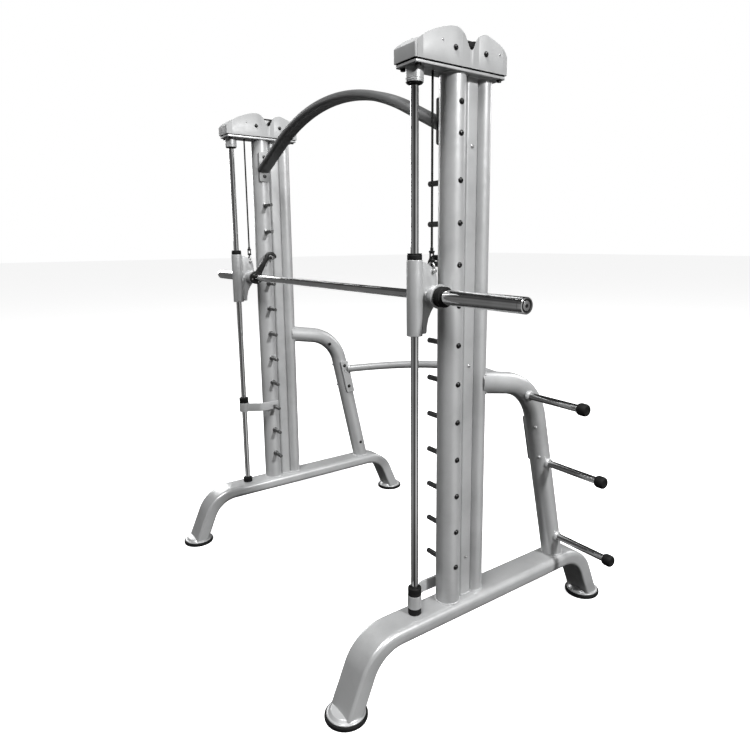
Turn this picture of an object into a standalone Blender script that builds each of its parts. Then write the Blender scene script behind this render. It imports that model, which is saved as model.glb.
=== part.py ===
"""Smith machine: twin guided columns, counterbalanced bar, pull-up arch and plate storage.

Metres, +Z up, +X across the machine, -Y towards the lifter. Every physical piece is one object.
"""
import math

import bmesh
import bpy
from mathutils import Vector

# Driving dimensions -------------------------------------------------------------------------
SIDE_X = 0.720            # frame centreline, each side
ROD_Y = -0.322            # guide rods; every depth below is measured back from here
GAP = 0.0003

BASE_TOP = 0.2563
BASE_HIGH = 0.0570
BASE_WIDE = 0.1160
BASE_CORNER = 0.0210
BASE_MID = 0.3218         # middle of the base behind the rod
BASE_FLAT_HALF = 0.4148   # half of the straight length
LEG_BEND = 0.143
LEG_ANGLE = math.radians(66.7)
PAD_RADIUS = 0.0710
PAD_HIGH = 0.0240

ROD_RADIUS = 0.0125
ROD_BORE = 0.0130
BUMPER_TOP = 0.2790
PLATE_LOW = 2.0000
PLATE_HIGH = 2.0080
COLUMN_TOP = PLATE_LOW - GAP
COLUMN_FOOT = BASE_TOP + GAP

FRONT_TUBE_Y = 0.1475
FRONT_TUBE_R = 0.0420
SPACER_Y = (0.1898, 0.2416)
SPACER_HALF_X = 0.0180
REAR_TUBE_Y = 0.2720
REAR_TUBE_R = 0.0300
TUBE_WALL = 0.0028

PEG_COUNT = 11
PEG_TOP_Z = 1.6865
PEG_PITCH = 0.1293
PEG_RADIUS = 0.0090
PEG_TIP_X = 0.6110

BRACE_R = 0.0395
BRACE_LINE = (0.705, 0.270, 0.223)    # depth at a height, and how fast it moves forward going up
BRACE_TOP = (0.2850, 1.0220, 0.158)   # depth and height at the column, and its downward slope
BRACE_BEND = 0.200

CROSS_R = 0.0200
CROSS_END = (0.6760, 0.612, 0.795)
CROSS_BOW = (0.358, 0.0615)           # how far the middle sits back and up

ARCH_R = 1.155
ARCH_BEND_HALF = 0.500      # the arch is straight outside this
ARCH_TOP = 2.058
ARCH_SECTION = (0.0640, 0.0345)
ARCH_FLANGE_Z = (1.800, 1.941)
ARCH_FLANGE_X = (0.0470, 0.0260)      # inward from the frame centreline
ARCH_FLANGE_HALF = 0.0260

SHROUD_HALF_X = 0.0523
SHROUD_SHEET = 0.0030
SHROUD_PROFILE = ((-0.0384, 2.0500), (-0.0355, 2.0540), (-0.0135, 2.0720), (0.0135, 2.0880),
                  (0.0440, 2.1010), (0.0750, 2.1110), (0.0950, 2.1160), (0.1130, 2.1180),
                  (0.1250, 2.1165), (0.1355, 2.1120), (0.1440, 2.1060), (0.1520, 2.0970),
                  (0.1610, 2.0790), (0.1680, 2.0670), (0.1765, 2.0630), (0.1850, 2.0690),
                  (0.1930, 2.0860), (0.2000, 2.0990), (0.2090, 2.1070), (0.2200, 2.1120),
                  (0.2330, 2.1150), (0.2430, 2.1140), (0.2650, 2.1070), (0.2900, 2.0980),
                  (0.3080, 2.0880), (0.3200, 2.0760), (0.3285, 2.0600))

PULLEY_AXLES = ((0.1120, 2.0600), (0.2345, 2.0600))
PULLEY_CABLE_R = 0.0440
PULLEY_RIM = 0.0475
CABLE_R = 0.0033
CABLE_Y = (0.0680, 0.2785)

BAR_Y = 0.0658
BAR_Z = 1.3326
BAR_R = 0.0145
BAR_BORE = 0.0148
SLEEVE_R = 0.0235
SLEEVE_X = (0.7925, 1.1165)
CARRIAGE_Z = (1.2110, 1.4460)
CARRIAGE_R = 0.0250
SEAL_TOP = 1.4660
HUB_R = 0.0300
RING_R = 0.0380           # stop ring on the bar between the hub and the collar
COLLAR_R = 0.0325
CLEVIS_Z = (1.3990, 1.4760)
HOOK_X = (0.6375, 0.6525)
WEIGHT_Z = (0.9000, 1.3500)
WEIGHT_R = 0.0190

STOP_Z = (0.6400, 0.6855)
STOP_R = 0.0235
STOP_PARKED = 0.3604      # how far below the left stop the right one rests
HORNS = ((0.4970, 0.9480), (0.6170, 0.6640), (0.6887, 0.3430))
HORN_R = 0.0128
HORN_END = 0.9790


def deep(offset):
    return ROD_Y + offset


# Scene helpers ------------------------------------------------------------------------------
for old in list(bpy.data.objects):
    bpy.data.objects.remove(old, do_unlink=True)


def material(name, colour, metallic, roughness):
    made = bpy.data.materials.new(name)
    made.use_nodes = True
    shader = made.node_tree.nodes["Principled BSDF"]
    shader.inputs["Base Color"].default_value = (*colour, 1.0)
    shader.inputs["Metallic"].default_value = metallic
    shader.inputs["Roughness"].default_value = roughness
    return made


SILVER = material("satin_silver_paint", (0.52, 0.53, 0.54), 0.35, 0.38)
SHROUD = material("light_grey_cover", (0.66, 0.66, 0.67), 0.05, 0.42)
ARCH_PAINT = material("dark_grey_paint", (0.16, 0.16, 0.17), 0.20, 0.45)
CHROME = material("bright_chrome", (0.80, 0.81, 0.82), 1.00, 0.12)
STEEL = material("zinc_plated_steel", (0.60, 0.61, 0.62), 0.95, 0.32)
RUBBER = material("black_rubber", (0.02, 0.02, 0.02), 0.00, 0.75)
PLASTIC = material("black_nylon", (0.04, 0.04, 0.045), 0.00, 0.40)
IRON = material("grey_cast_iron", (0.20, 0.20, 0.21), 0.60, 0.60)


def build(name, verts, faces, paint, pivot=(0.0, 0.0, 0.0)):
    """One named object from points and faces, its origin on the pivot."""
    base = Vector(pivot)
    mesh = bpy.data.meshes.new(name)
    mesh.from_pydata([Vector(v) - base for v in verts], [], faces)
    work = bmesh.new()
    work.from_mesh(mesh)
    bmesh.ops.remove_doubles(work, verts=work.verts, dist=1e-7)
    bmesh.ops.recalc_face_normals(work, faces=work.faces)
    work.to_mesh(mesh)
    work.free()
    made = bpy.data.objects.new(name, mesh)
    made.location = base
    bpy.context.scene.collection.objects.link(made)
    mesh.materials.append(paint)
    return made


def combine(target, operation, *others):
    """Boolean the other objects into the target and drop them."""
    for other in others:
        step = target.modifiers.new(operation, "BOOLEAN")
        step.operation = operation
        step.solver = "EXACT"
        step.object = other
    bpy.context.view_layer.update()
    graph = bpy.context.evaluated_depsgraph_get()
    result = bpy.data.meshes.new_from_object(target.evaluated_get(graph))
    target.modifiers.clear()
    target.data = result
    for other in others:
        bpy.data.objects.remove(other, do_unlink=True)
    return target


# Shape helpers: each returns points and faces -------------------------------------------------
AXES = {"x": (1, 2, 0), "y": (0, 2, 1), "z": (0, 1, 2)}


def placed(u, v, w, axis):
    """Section coordinates (u, v) and height w along the named axis as a world point."""
    point = [0.0, 0.0, 0.0]
    for slot, value in zip(AXES[axis], (u, v, w)):
        point[slot] = value
    return tuple(point)


def lathe(profile, sides, axis, centre):
    """Turn a closed (radius, height) loop about an axis; radius 0 closes on the axis."""
    rings = [[placed(centre[0] + r * math.cos(a), centre[1] + r * math.sin(a), h, axis)
              for a in (2 * math.pi * k / sides for k in range(sides))] for r, h in profile]
    verts = [p for ring in rings for p in ring]
    faces = []
    count = len(profile)
    for i in range(count):
        j = (i + 1) % count
        if profile[i][0] < 1e-9 and profile[j][0] < 1e-9:
            continue
        for k in range(sides):
            m = (k + 1) % sides
            quad = [i * sides + k, i * sides + m, j * sides + m, j * sides + k]
            if profile[i][0] < 1e-9:
                quad.pop(1)
            elif profile[j][0] < 1e-9:
                quad.pop(2)
            faces.append(quad)
    return verts, faces


def rod(radius, low, high, sides, axis, centre):
    return lathe(((0.0, low), (radius, low), (radius, high), (0.0, high)), sides, axis, centre)


def ring(inner, outer, low, high, sides, axis, centre):
    loop = ((inner, low), (outer, low), (outer, high), (inner, high))
    return lathe(loop, sides, axis, centre)


def prism(outline, low, high, axis):
    count = len(outline)
    verts = [placed(u, v, low, axis) for u, v in outline]
    verts += [placed(u, v, high, axis) for u, v in outline]
    faces = [list(range(count))[::-1], [count + k for k in range(count)]]
    faces += [[k, (k + 1) % count, count + (k + 1) % count, count + k] for k in range(count)]
    return verts, faces


def pipe(outer, inner, low, high, axis):
    """Hollow prism between two outlines with the same number of points."""
    count = len(outer)
    verts = [placed(u, v, h, axis) for h in (low, high) for loop in (outer, inner) for u, v in loop]
    faces = []
    for k in range(count):
        m = (k + 1) % count
        a, b, c, d = (step * count for step in range(4))
        faces += [[a + k, a + m, c + m, c + k], [b + k, b + m, d + m, d + k],
                  [a + k, a + m, b + m, b + k], [c + k, c + m, d + m, d + k]]
    return verts, faces


def box(x, y, z):
    return prism(((x[0], y[0]), (x[1], y[0]), (x[1], y[1]), (x[0], y[1])), z[0], z[1], "z")


def circle(radius, sides, centre=(0.0, 0.0)):
    return [(centre[0] + radius * math.cos(2 * math.pi * k / sides),
             centre[1] + radius * math.sin(2 * math.pi * k / sides)) for k in range(sides)]


def rounded(wide, high, corner, steps, centre=(0.0, 0.0)):
    loop = []
    for turn, (sx, sy) in enumerate(((1, 1), (-1, 1), (-1, -1), (1, -1))):
        for k in range(steps + 1):
            a = math.pi / 2 * (turn + k / steps)
            loop.append((centre[0] + sx * (wide / 2 - corner) + corner * math.cos(a),
                         centre[1] + sy * (high / 2 - corner) + corner * math.sin(a)))
    return loop


def sweep(path, section, lateral, cuts=(None, None)):
    """Carry a section along a flat path. Cuts are (point, normal) planes the ends lie in."""
    side = Vector(lateral).normalized()
    path = [Vector(p) for p in path]
    verts = []
    for i, here in enumerate(path):
        back = path[max(i - 1, 0)]
        ahead = path[min(i + 1, len(path) - 1)]
        along = (ahead - back).normalized()
        up = along.cross(side).normalized()
        loop = [here + side * a + up * b for a, b in section]
        cut = cuts[0] if i == 0 else cuts[1] if i == len(path) - 1 else None
        if cut:
            point, normal = Vector(cut[0]), Vector(cut[1])
            loop = [p + along * ((point - p).dot(normal) / along.dot(normal)) for p in loop]
        verts += loop
    count = len(section)
    faces = [list(range(count))[::-1], [(len(path) - 1) * count + k for k in range(count)]]
    for i in range(len(path) - 1):
        faces += [[i * count + k, i * count + (k + 1) % count,
                   (i + 1) * count + (k + 1) % count, (i + 1) * count + k] for k in range(count)]
    return verts, faces


def brace_depth(z):
    depth, height, slope = BRACE_LINE
    return depth - slope * (z - height)


# Frame ----------------------------------------------------------------------------------------
def base(side, name):
    x = side * SIDE_X
    centre_z = BASE_TOP - BASE_HIGH / 2
    half = []
    steps = 7
    for k in range(steps + 1):
        a = LEG_ANGLE * k / steps
        half.append((BASE_FLAT_HALF + LEG_BEND * math.sin(a),
                     centre_z - LEG_BEND * (1 - math.cos(a))))
    low = PAD_HIGH + GAP
    last = half[-1]
    drop = last[1] - low
    half.append((last[0] + drop / math.tan(LEG_ANGLE), low))
    path = [(x, deep(BASE_MID - d), z) for d, z in reversed(half)]
    path += [(x, deep(BASE_MID + d), z) for d, z in half]
    section = rounded(BASE_WIDE, BASE_HIGH, BASE_CORNER, 3)
    floor_cut = ((0.0, 0.0, low), (0.0, 0.0, 1.0))
    build(f"base_{name}", *sweep(path, section, (1, 0, 0), (floor_cut, floor_cut)), SILVER)
    for end, sign in (("front", -1), ("rear", 1)):
        reach = half[-1][0] + 0.004
        profile = ((0.0, 0.0), (PAD_RADIUS - 0.003, 0.0), (PAD_RADIUS, 0.003),
                   (PAD_RADIUS, 0.013), (PAD_RADIUS - 0.004, 0.016),
                   (PAD_RADIUS - 0.006, PAD_HIGH), (0.0, PAD_HIGH))
        centre = (x, deep(BASE_MID + sign * reach))
        build(f"foot_pad_{end}_{name}", *lathe(profile, 22, "z", centre), RUBBER)


def columns(side, name):
    x = side * SIDE_X
    centre = (x, deep(FRONT_TUBE_Y))
    sides = 24
    tube = build(f"column_front_tube_{name}",
                 *pipe(circle(FRONT_TUBE_R, sides, centre),
                       circle(FRONT_TUBE_R - TUBE_WALL, sides, centre),
                       COLUMN_FOOT, COLUMN_TOP, "z"), SILVER)
    heights = [PEG_TOP_Z - k * PEG_PITCH for k in range(PEG_COUNT)]
    inner_x = sorted((side * (SIDE_X - 0.050), side * (SIDE_X - 0.030)))
    cutters = [build("cutter", *rod(PEG_RADIUS + GAP, *inner_x, 10, "x", (deep(FRONT_TUBE_Y), z)),
                     SILVER) for z in heights]
    combine(tube, "DIFFERENCE", *cutters)
    strip_x = sorted((side * (SIDE_X - 0.012), side * (SIDE_X - 0.004)))
    middle = deep(FRONT_TUBE_Y)
    ladder = build(f"catch_pegs_{name}",
                   *box(strip_x, (middle - 0.012, middle + 0.012),
                        (heights[-1] - 0.020, heights[0] + 0.020)), CHROME)
    peg_x = sorted((side * PEG_TIP_X, side * (SIDE_X - 0.008)))
    pegs = [build("peg", *rod(PEG_RADIUS, *peg_x, 10, "x", (middle, z)), CHROME) for z in heights]
    combine(ladder, "UNION", *pegs)

    spacer_mid = (x, deep(sum(SPACER_Y) / 2))
    deep_size = SPACER_Y[1] - SPACER_Y[0]
    outer = rounded(2 * SPACER_HALF_X, deep_size, 0.010, 3, spacer_mid)
    inner = rounded(2 * SPACER_HALF_X - 2 * TUBE_WALL, deep_size - 2 * TUBE_WALL, 0.007, 3,
                    spacer_mid)
    build(f"column_spacer_tube_{name}", *pipe(outer, inner, COLUMN_FOOT, COLUMN_TOP, "z"), SILVER)
    centre = (x, deep(REAR_TUBE_Y))
    build(f"column_rear_tube_{name}",
          *pipe(circle(REAR_TUBE_R, 20, centre), circle(REAR_TUBE_R - TUBE_WALL, 20, centre),
                COLUMN_FOOT, COLUMN_TOP, "z"), SILVER)


def rear_brace(side, name):
    x = side * SIDE_X
    depth, height, slope = BRACE_LINE
    top_y, top_z, fall = BRACE_TOP
    corner_y = (depth - slope * (top_z + fall * top_y - height)) / (1 - slope * fall)
    corner = Vector((corner_y, top_z - fall * (corner_y - top_y)))
    first = Vector((-1.0, fall)).normalized()
    second = Vector((slope, -1.0)).normalized()
    half_turn = (math.pi - first.angle(second)) / 2
    reach = BRACE_BEND * math.tan(half_turn)
    middle = corner + (first + second).normalized() * (BRACE_BEND / math.cos(half_turn))
    start = corner + first * reach - middle
    finish = corner + second * reach - middle
    points = [Vector((top_y, top_z))]
    turn = 2 * half_turn
    for k in range(8):
        t = k / 7
        blend = (start * math.sin((1 - t) * turn) + finish * math.sin(t * turn)) / math.sin(turn)
        points.append(middle + blend)
    foot = BASE_TOP + GAP
    points.append(Vector((brace_depth(foot), foot)))
    path = [(x, deep(p.x), p.y) for p in points]
    cuts = (None, ((0.0, 0.0, foot), (0.0, 0.0, 1.0)))
    tube = build(f"rear_brace_{name}", *sweep(path, circle(BRACE_R, 18), (1, 0, 0), cuts), SILVER)
    saddle = build("cutter", *rod(REAR_TUBE_R + GAP, 0.90, 1.15, 32, "z",
                                  (x, deep(REAR_TUBE_Y))), SILVER)
    combine(tube, "DIFFERENCE", saddle)
    if side > 0:
        root_x = SIDE_X + BRACE_R
        for k, (y, z) in enumerate(HORNS):
            centre = (deep(y), z)
            bars = rod(HORN_R, root_x + GAP, HORN_END, 14, "x", centre)
            build(f"storage_horn_{k + 1}", *bars, CHROME)
            combine(tube, "UNION", build("boss", *rod(0.0190, SIDE_X + 0.020, root_x, 14, "x",
                                                      centre), SILVER))
            inside = HORN_END - 0.004
            loop = ((0.0, HORN_END + GAP), (HORN_R + GAP, HORN_END + GAP),
                    (HORN_R + GAP, inside), (0.0195, inside), (0.0205, inside + 0.002),
                    (0.0205, HORN_END + 0.026), (0.0180, HORN_END + 0.030),
                    (0.0, HORN_END + 0.030))
            build(f"storage_horn_cap_{k + 1}", *lathe(loop, 14, "x", centre), RUBBER)


def crossbar():
    end_x, end_y, end_z = CROSS_END
    back, up = CROSS_BOW
    path = []
    steps = 16
    for k in range(steps + 1):
        x = -end_x + 2 * end_x * k / steps
        bow = 1 - (x / end_x) ** 2
        path.append((x, deep(end_y + back * bow), end_z + up * bow))
    cuts = tuple(((s * end_x, 0.0, 0.0), (1.0, 0.0, 0.0)) for s in (-1, 1))
    bar = build("rear_crossbar",
                *sweep(path, circle(CROSS_R, 12), (0.0, -up, back), cuts), SILVER)
    flange_mid = 0.750
    for side in (-1, 1):
        loop = []
        for z in (flange_mid - 0.092, flange_mid + 0.092):
            mid = brace_depth(z)
            pair = [(deep(mid - 0.018), z), (deep(mid + 0.030), z)]
            loop += pair if not loop else pair[::-1]
        plate = build("plate", *prism(loop, *sorted((side * 0.6735, side * 0.7000)), "x"), SILVER)
        combine(bar, "UNION", plate)
    for side in (-1, 1):
        ends = (0.55, 0.95)
        line = [(side * SIDE_X, deep(brace_depth(z)), z) for z in ends]
        cutter = build("cutter", *sweep(line, circle(BRACE_R + GAP, 32), (1, 0, 0)), SILVER)
        combine(bar, "DIFFERENCE", cutter)


def arch_height(x):
    drop = ARCH_R - math.sqrt(ARCH_R ** 2 - min(abs(x), ARCH_BEND_HALF) ** 2)
    fall = ARCH_BEND_HALF / math.sqrt(ARCH_R ** 2 - ARCH_BEND_HALF ** 2)
    return ARCH_TOP - drop - fall * max(abs(x) - ARCH_BEND_HALF, 0.0)


def pull_up_bar():
    reach = SIDE_X - FRONT_TUBE_R + 0.016
    path = []
    steps = 18
    for k in range(steps + 1):
        x = -reach + 2 * reach * k / steps
        path.append((x, deep(FRONT_TUBE_Y), arch_height(x)))
    wide, thick = ARCH_SECTION
    section = rounded(wide, thick, thick / 2 - 0.001, 3)
    cuts = tuple(((s * reach, 0.0, 0.0), (1.0, 0.0, 0.0)) for s in (-1, 1))
    bar = build("pull_up_bar", *sweep(path, section, (0, 1, 0), cuts), ARCH_PAINT)
    for side in (-1, 1):
        plate = build("plate", *box(sorted(side * (SIDE_X - inward) for inward in ARCH_FLANGE_X),
                                    (deep(FRONT_TUBE_Y - ARCH_FLANGE_HALF),
                                     deep(FRONT_TUBE_Y + ARCH_FLANGE_HALF)),
                                    ARCH_FLANGE_Z), ARCH_PAINT)
        combine(bar, "UNION", plate)
    for side in (-1, 1):
        cutter = build("cutter", *rod(FRONT_TUBE_R + GAP, 1.70, 1.99, 40, "z",
                                      (side * SIDE_X, deep(FRONT_TUBE_Y))), ARCH_PAINT)
        combine(bar, "DIFFERENCE", cutter)


# Head ------------------------------------------------------------------------------------------
def head(side, name):
    x = side * SIDE_X
    front, rear = deep(SHROUD_PROFILE[0][0]), deep(SHROUD_PROFILE[-1][0])
    low = PLATE_HIGH + GAP
    outline = [(deep(y), z) for y, z in SHROUD_PROFILE] + [(rear, low), (front, low)]
    shroud = build(f"head_shroud_{name}",
                   *prism(outline, x - SHROUD_HALF_X, x + SHROUD_HALF_X, "x"), SHROUD)
    inside = SHROUD_HALF_X - SHROUD_SHEET
    hollow = build("cutter", *box((x - inside, x + inside),
                                  (front + SHROUD_SHEET, rear - SHROUD_SHEET), (1.95, 2.20)),
                   SHROUD)
    combine(shroud, "DIFFERENCE", hollow)

    outline = rounded(2 * SHROUD_HALF_X - 0.006, rear - front - 0.006, 0.008, 3,
                      (x, (front + rear) / 2))
    plate = build(f"head_plate_{name}", *prism(outline, PLATE_LOW, PLATE_HIGH, "z"), SILVER)
    cup_loop = ((0.0, PLATE_LOW + 0.003), (0.0265, PLATE_LOW + 0.003), (0.0265, 1.9700),
                (0.0250, 1.9660), (0.0262, 1.9620), (0.0225, 1.9545), (0.0185, 1.9540),
                (ROD_BORE, 1.9540), (ROD_BORE, 1.9905), (0.0, 1.9905))
    cup = build("cup", *lathe(cup_loop, 20, "z", (x, ROD_Y)), SILVER)
    combine(plate, "UNION", cup)
    holes = [build("cutter", *rod(0.0085, 1.98, 2.03, 12, "z", (x, deep(y))), SILVER)
             for y in CABLE_Y]
    combine(plate, "DIFFERENCE", *holes)

    groove = CABLE_R + 0.0005
    reach = SHROUD_HALF_X - SHROUD_SHEET - 0.0006
    for (y, z), where in zip(PULLEY_AXLES, ("front", "rear")):
        loop = [(0.0, -reach), (0.0060, -reach), (0.0060, -0.0150), (0.0130, -0.0150),
                (0.0130, -0.0075), (PULLEY_RIM, -0.0075), (PULLEY_RIM, -groove)]
        for k in range(6):
            a = math.pi * (k + 0.5) / 6
            loop.append((PULLEY_CABLE_R - groove / math.cos(math.pi / 12) * math.sin(a),
                         -groove / math.cos(math.pi / 12) * math.cos(a)))
        loop += [(PULLEY_RIM, groove), (PULLEY_RIM, 0.0075), (0.0130, 0.0075),
                 (0.0130, 0.0150), (0.0060, 0.0150), (0.0060, reach), (0.0, reach)]
        loop = [(r, x + h) for r, h in loop]
        build(f"pulley_{where}_{name}", *lathe(loop, 16, "x", (deep(y), z)), PLASTIC,
              (x, deep(y), z))

    points = [(CABLE_Y[0], PLATE_LOW + GAP), (CABLE_Y[0], 2.030)]
    for (y, z), start in zip(PULLEY_AXLES, (math.pi, math.pi / 2)):
        for k in range(9):
            a = start - math.pi / 2 * k / 8
            points.append((y + PULLEY_CABLE_R * math.cos(a), z + PULLEY_CABLE_R * math.sin(a)))
    points += [(CABLE_Y[1], 2.030), (CABLE_Y[1], PLATE_LOW + GAP)]
    curve = bpy.data.curves.new(f"cable_head_{name}", "CURVE")
    curve.dimensions = "3D"
    curve.bevel_depth = CABLE_R
    curve.bevel_resolution = 2
    curve.use_fill_caps = True
    line = curve.splines.new("POLY")
    line.points.add(len(points) - 1)
    for spot, (y, z) in zip(line.points, points):
        spot.co = (x, deep(y), z, 1.0)
    made = bpy.data.objects.new(f"cable_head_{name}", curve)
    bpy.context.scene.collection.objects.link(made)
    curve.materials.append(PLASTIC)


# Guides, carriages and cables --------------------------------------------------------------------
def guide(side, name):
    x = side * SIDE_X
    centre = (x, ROD_Y)
    build(f"guide_rod_{name}", *rod(ROD_RADIUS, COLUMN_FOOT, 1.9900, 20, "z", centre), CHROME)
    build(f"rod_bumper_{name}",
          *ring(ROD_BORE, 0.0225, COLUMN_FOOT, BUMPER_TOP, 20, "z", centre), RUBBER)


def carriage(side, name):
    x = side * SIDE_X
    low, high = CARRIAGE_Z
    centre = (x, ROD_Y)
    body = build(f"carriage_{name}", *rod(CARRIAGE_R, low, high, 20, "z", centre), SILVER)
    outline = [(0.0150, 1.4410), (0.0380, 1.4380), (0.0530, 1.4280), (0.0575, 1.3987),
               (0.0785, 1.3987), (0.0830, 1.3920), (0.0850, 1.3750), (0.0850, 1.3200),
               (0.0780, 1.3050), (0.0620, 1.2850), (0.0500, 1.2620), (0.0440, 1.2350),
               (0.0430, 1.2200), (0.0400, 1.2150), (0.0150, 1.2150)]
    outline = [(deep(y), z) for y, z in outline]
    gusset = build("gusset", *prism(outline, x - 0.0080, x + 0.0080, "x"), SILVER)
    hub_x = sorted((side * 0.6570, side * 0.7580))
    hub = build("hub", *rod(HUB_R, *hub_x, 20, "x", (deep(BAR_Y), BAR_Z)), SILVER)
    combine(body, "UNION", gusset, hub)
    bore = build("cutter", *rod(ROD_BORE, low - 0.05, high + 0.05, 20, "z", centre), SILVER)
    hole = build("cutter", *rod(BAR_BORE, hub_x[0] - 0.02, hub_x[1] + 0.02, 20, "x",
                                (deep(BAR_Y), BAR_Z)), SILVER)
    combine(body, "DIFFERENCE", bore, hole)
    build(f"carriage_seal_{name}",
          *ring(ROD_BORE, 0.0232, high + GAP, SEAL_TOP, 20, "z", centre), RUBBER)

    eye, top = CLEVIS_Z
    loop = ((0.0, eye), (0.0065, eye), (0.0095, eye + 0.006), (0.0095, eye + 0.014),
            (0.0045, eye + 0.020), (0.0045, eye + 0.028), (0.0080, eye + 0.030),
            (0.0080, eye + 0.062), (0.0050, eye + 0.064), (0.0050, top), (0.0, top))
    spot = (x, deep(CABLE_Y[0]))
    build(f"cable_clevis_{name}", *lathe(loop, 10, "z", spot), STEEL)
    build(f"cable_front_{name}", *rod(CABLE_R, top + GAP, PLATE_LOW, 8, "z", spot), PLASTIC)
    spot = (x, deep(CABLE_Y[1]))
    low, high = WEIGHT_Z
    build(f"counterweight_{name}", *rod(WEIGHT_R, low, high, 14, "z", spot), IRON)
    build(f"cable_rear_{name}", *rod(CABLE_R, high + GAP, PLATE_LOW, 8, "z", spot), PLASTIC)


# Bar ---------------------------------------------------------------------------------------------
def lifting_bar():
    y, z = deep(BAR_Y), BAR_Z
    inner, outer = SLEEVE_X
    half = [(BAR_R, 0.7585), (RING_R, 0.7585), (RING_R, 0.7640), (BAR_R, 0.7640),
            (BAR_R, inner - GAP * 2), (SLEEVE_R, inner - GAP * 2), (SLEEVE_R, outer - 0.002),
            (SLEEVE_R - 0.002, outer), (0.0, outer)]
    loop = [(r, -h) for r, h in reversed(half)] + half
    build("lifting_bar", *lathe(loop, 20, "x", (y, z)), CHROME, (0.0, y, z))
    peg = Vector((deep(FRONT_TUBE_Y), PEG_TOP_Z - 2 * PEG_PITCH))
    toward = math.atan2(peg.y - z, peg.x - y)
    inside, outside = 0.0140, 0.0300
    start, finish = toward - math.radians(38), math.radians(205)
    steps = 11
    angles = [start + (finish - start) * k / steps for k in range(steps + 1)]
    tip = peg + Vector((math.cos(start), math.sin(start))) * (inside + outside) / 2
    tip_r = (outside - inside) / 2
    loop = [peg + Vector((math.cos(a), math.sin(a))) * inside for a in angles]
    foot = Vector((y, z))
    arm = Vector((math.cos(toward + math.radians(8)), math.sin(toward + math.radians(8))))
    across = Vector((-arm.y, arm.x))
    rear_edge = foot + arm * 0.026 - across * 0.015
    front_edge = foot + arm * 0.026 + across * 0.017
    shoulder = foot + arm * 0.084 - across * 0.009
    outer_loop = [peg + Vector((math.cos(a), math.sin(a))) * outside for a in reversed(angles)
                  if a < math.radians(175)]
    cap = [tip + Vector((math.cos(start - math.pi * k / 5), math.sin(start - math.pi * k / 5)))
           * tip_r for k in range(1, 5)]
    shape = loop + [shoulder, rear_edge, front_edge] + outer_loop + cap
    outline = [(p.x, p.y) for p in shape]
    for side, name in ((-1, "left"), (1, "right")):
        span = sorted((side * HOOK_X[0], side * HOOK_X[1]))
        hook = build(f"bar_hook_{name}", *prism(outline, *span, "x"), STEEL, (0.0, y, z))
        clamp = build("clamp", *rod(0.0315, *span, 20, "x", (y, z)), STEEL, (0.0, y, z))
        combine(hook, "UNION", clamp)
        bore = build("cutter", *rod(BAR_BORE, span[0] - 0.01, span[1] + 0.01, 20, "x", (y, z)),
                     STEEL)
        combine(hook, "DIFFERENCE", bore)
        span = sorted((side * (0.7640 + GAP), side * (inner - 3 * GAP)))
        build(f"sleeve_collar_{name}",
              *ring(BAR_BORE, COLLAR_R, *span, 20, "x", (y, z)), RUBBER, (0.0, y, z))


# Safety stops --------------------------------------------------------------------------------------
def safety_stop(side, name, drop):
    x = side * SIDE_X
    low, high = (z - drop for z in STOP_Z)
    centre = (x, ROD_Y)
    pivot = (x, ROD_Y, low)
    body = build(f"safety_stop_{name}", *rod(STOP_R, low, high, 20, "z", centre), SILVER, pivot)
    line = [(0.7080, 0.0120), (0.6960, 0.0300), (0.6830, 0.0480), (0.6720, 0.0620),
            (0.6680, 0.0720), (0.6670, 0.0850), (0.6670, 0.1660)]
    path = [(side * px, deep(py), (low + high) / 2 - 0.0012) for px, py in line]
    arm = build("arm", *sweep(path, rounded(0.0420, 0.0080, 0.0015, 2), (0, 0, 1)), SILVER)
    peg_z = PEG_TOP_Z - 8 * PEG_PITCH - drop
    notch = build("cutter", *box(sorted((side * 0.650, side * 0.690)),
                                 (deep(FRONT_TUBE_Y - PEG_RADIUS - 0.001), deep(0.19)),
                                 (low - 0.05, peg_z + PEG_RADIUS + 0.0007)), SILVER)
    combine(arm, "DIFFERENCE", notch)
    combine(body, "UNION", arm)
    bore = build("cutter", *rod(ROD_BORE, low - 0.05, high + 0.05, 20, "z", centre), SILVER)
    combine(body, "DIFFERENCE", bore)
    build(f"stop_bumper_{name}",
          *ring(ROD_BORE, 0.0228, high + GAP, high + 0.0270, 20, "z", centre), RUBBER,
          (x, ROD_Y, high))


for sign, label in ((-1, "left"), (1, "right")):
    base(sign, label)
    columns(sign, label)
    rear_brace(sign, label)
    head(sign, label)
    guide(sign, label)
    carriage(sign, label)
    safety_stop(sign, label, 0.0 if sign < 0 else STOP_PARKED)
crossbar()
pull_up_bar()
lifting_bar()
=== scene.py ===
"""Smith machine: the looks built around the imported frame. Metres, +Z up, -Y towards the lifter."""
from math import atan2, cos, dist, hypot, pi, radians, sin, sqrt, tan

import bmesh
import bpy
from mathutils import Matrix, Vector


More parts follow.
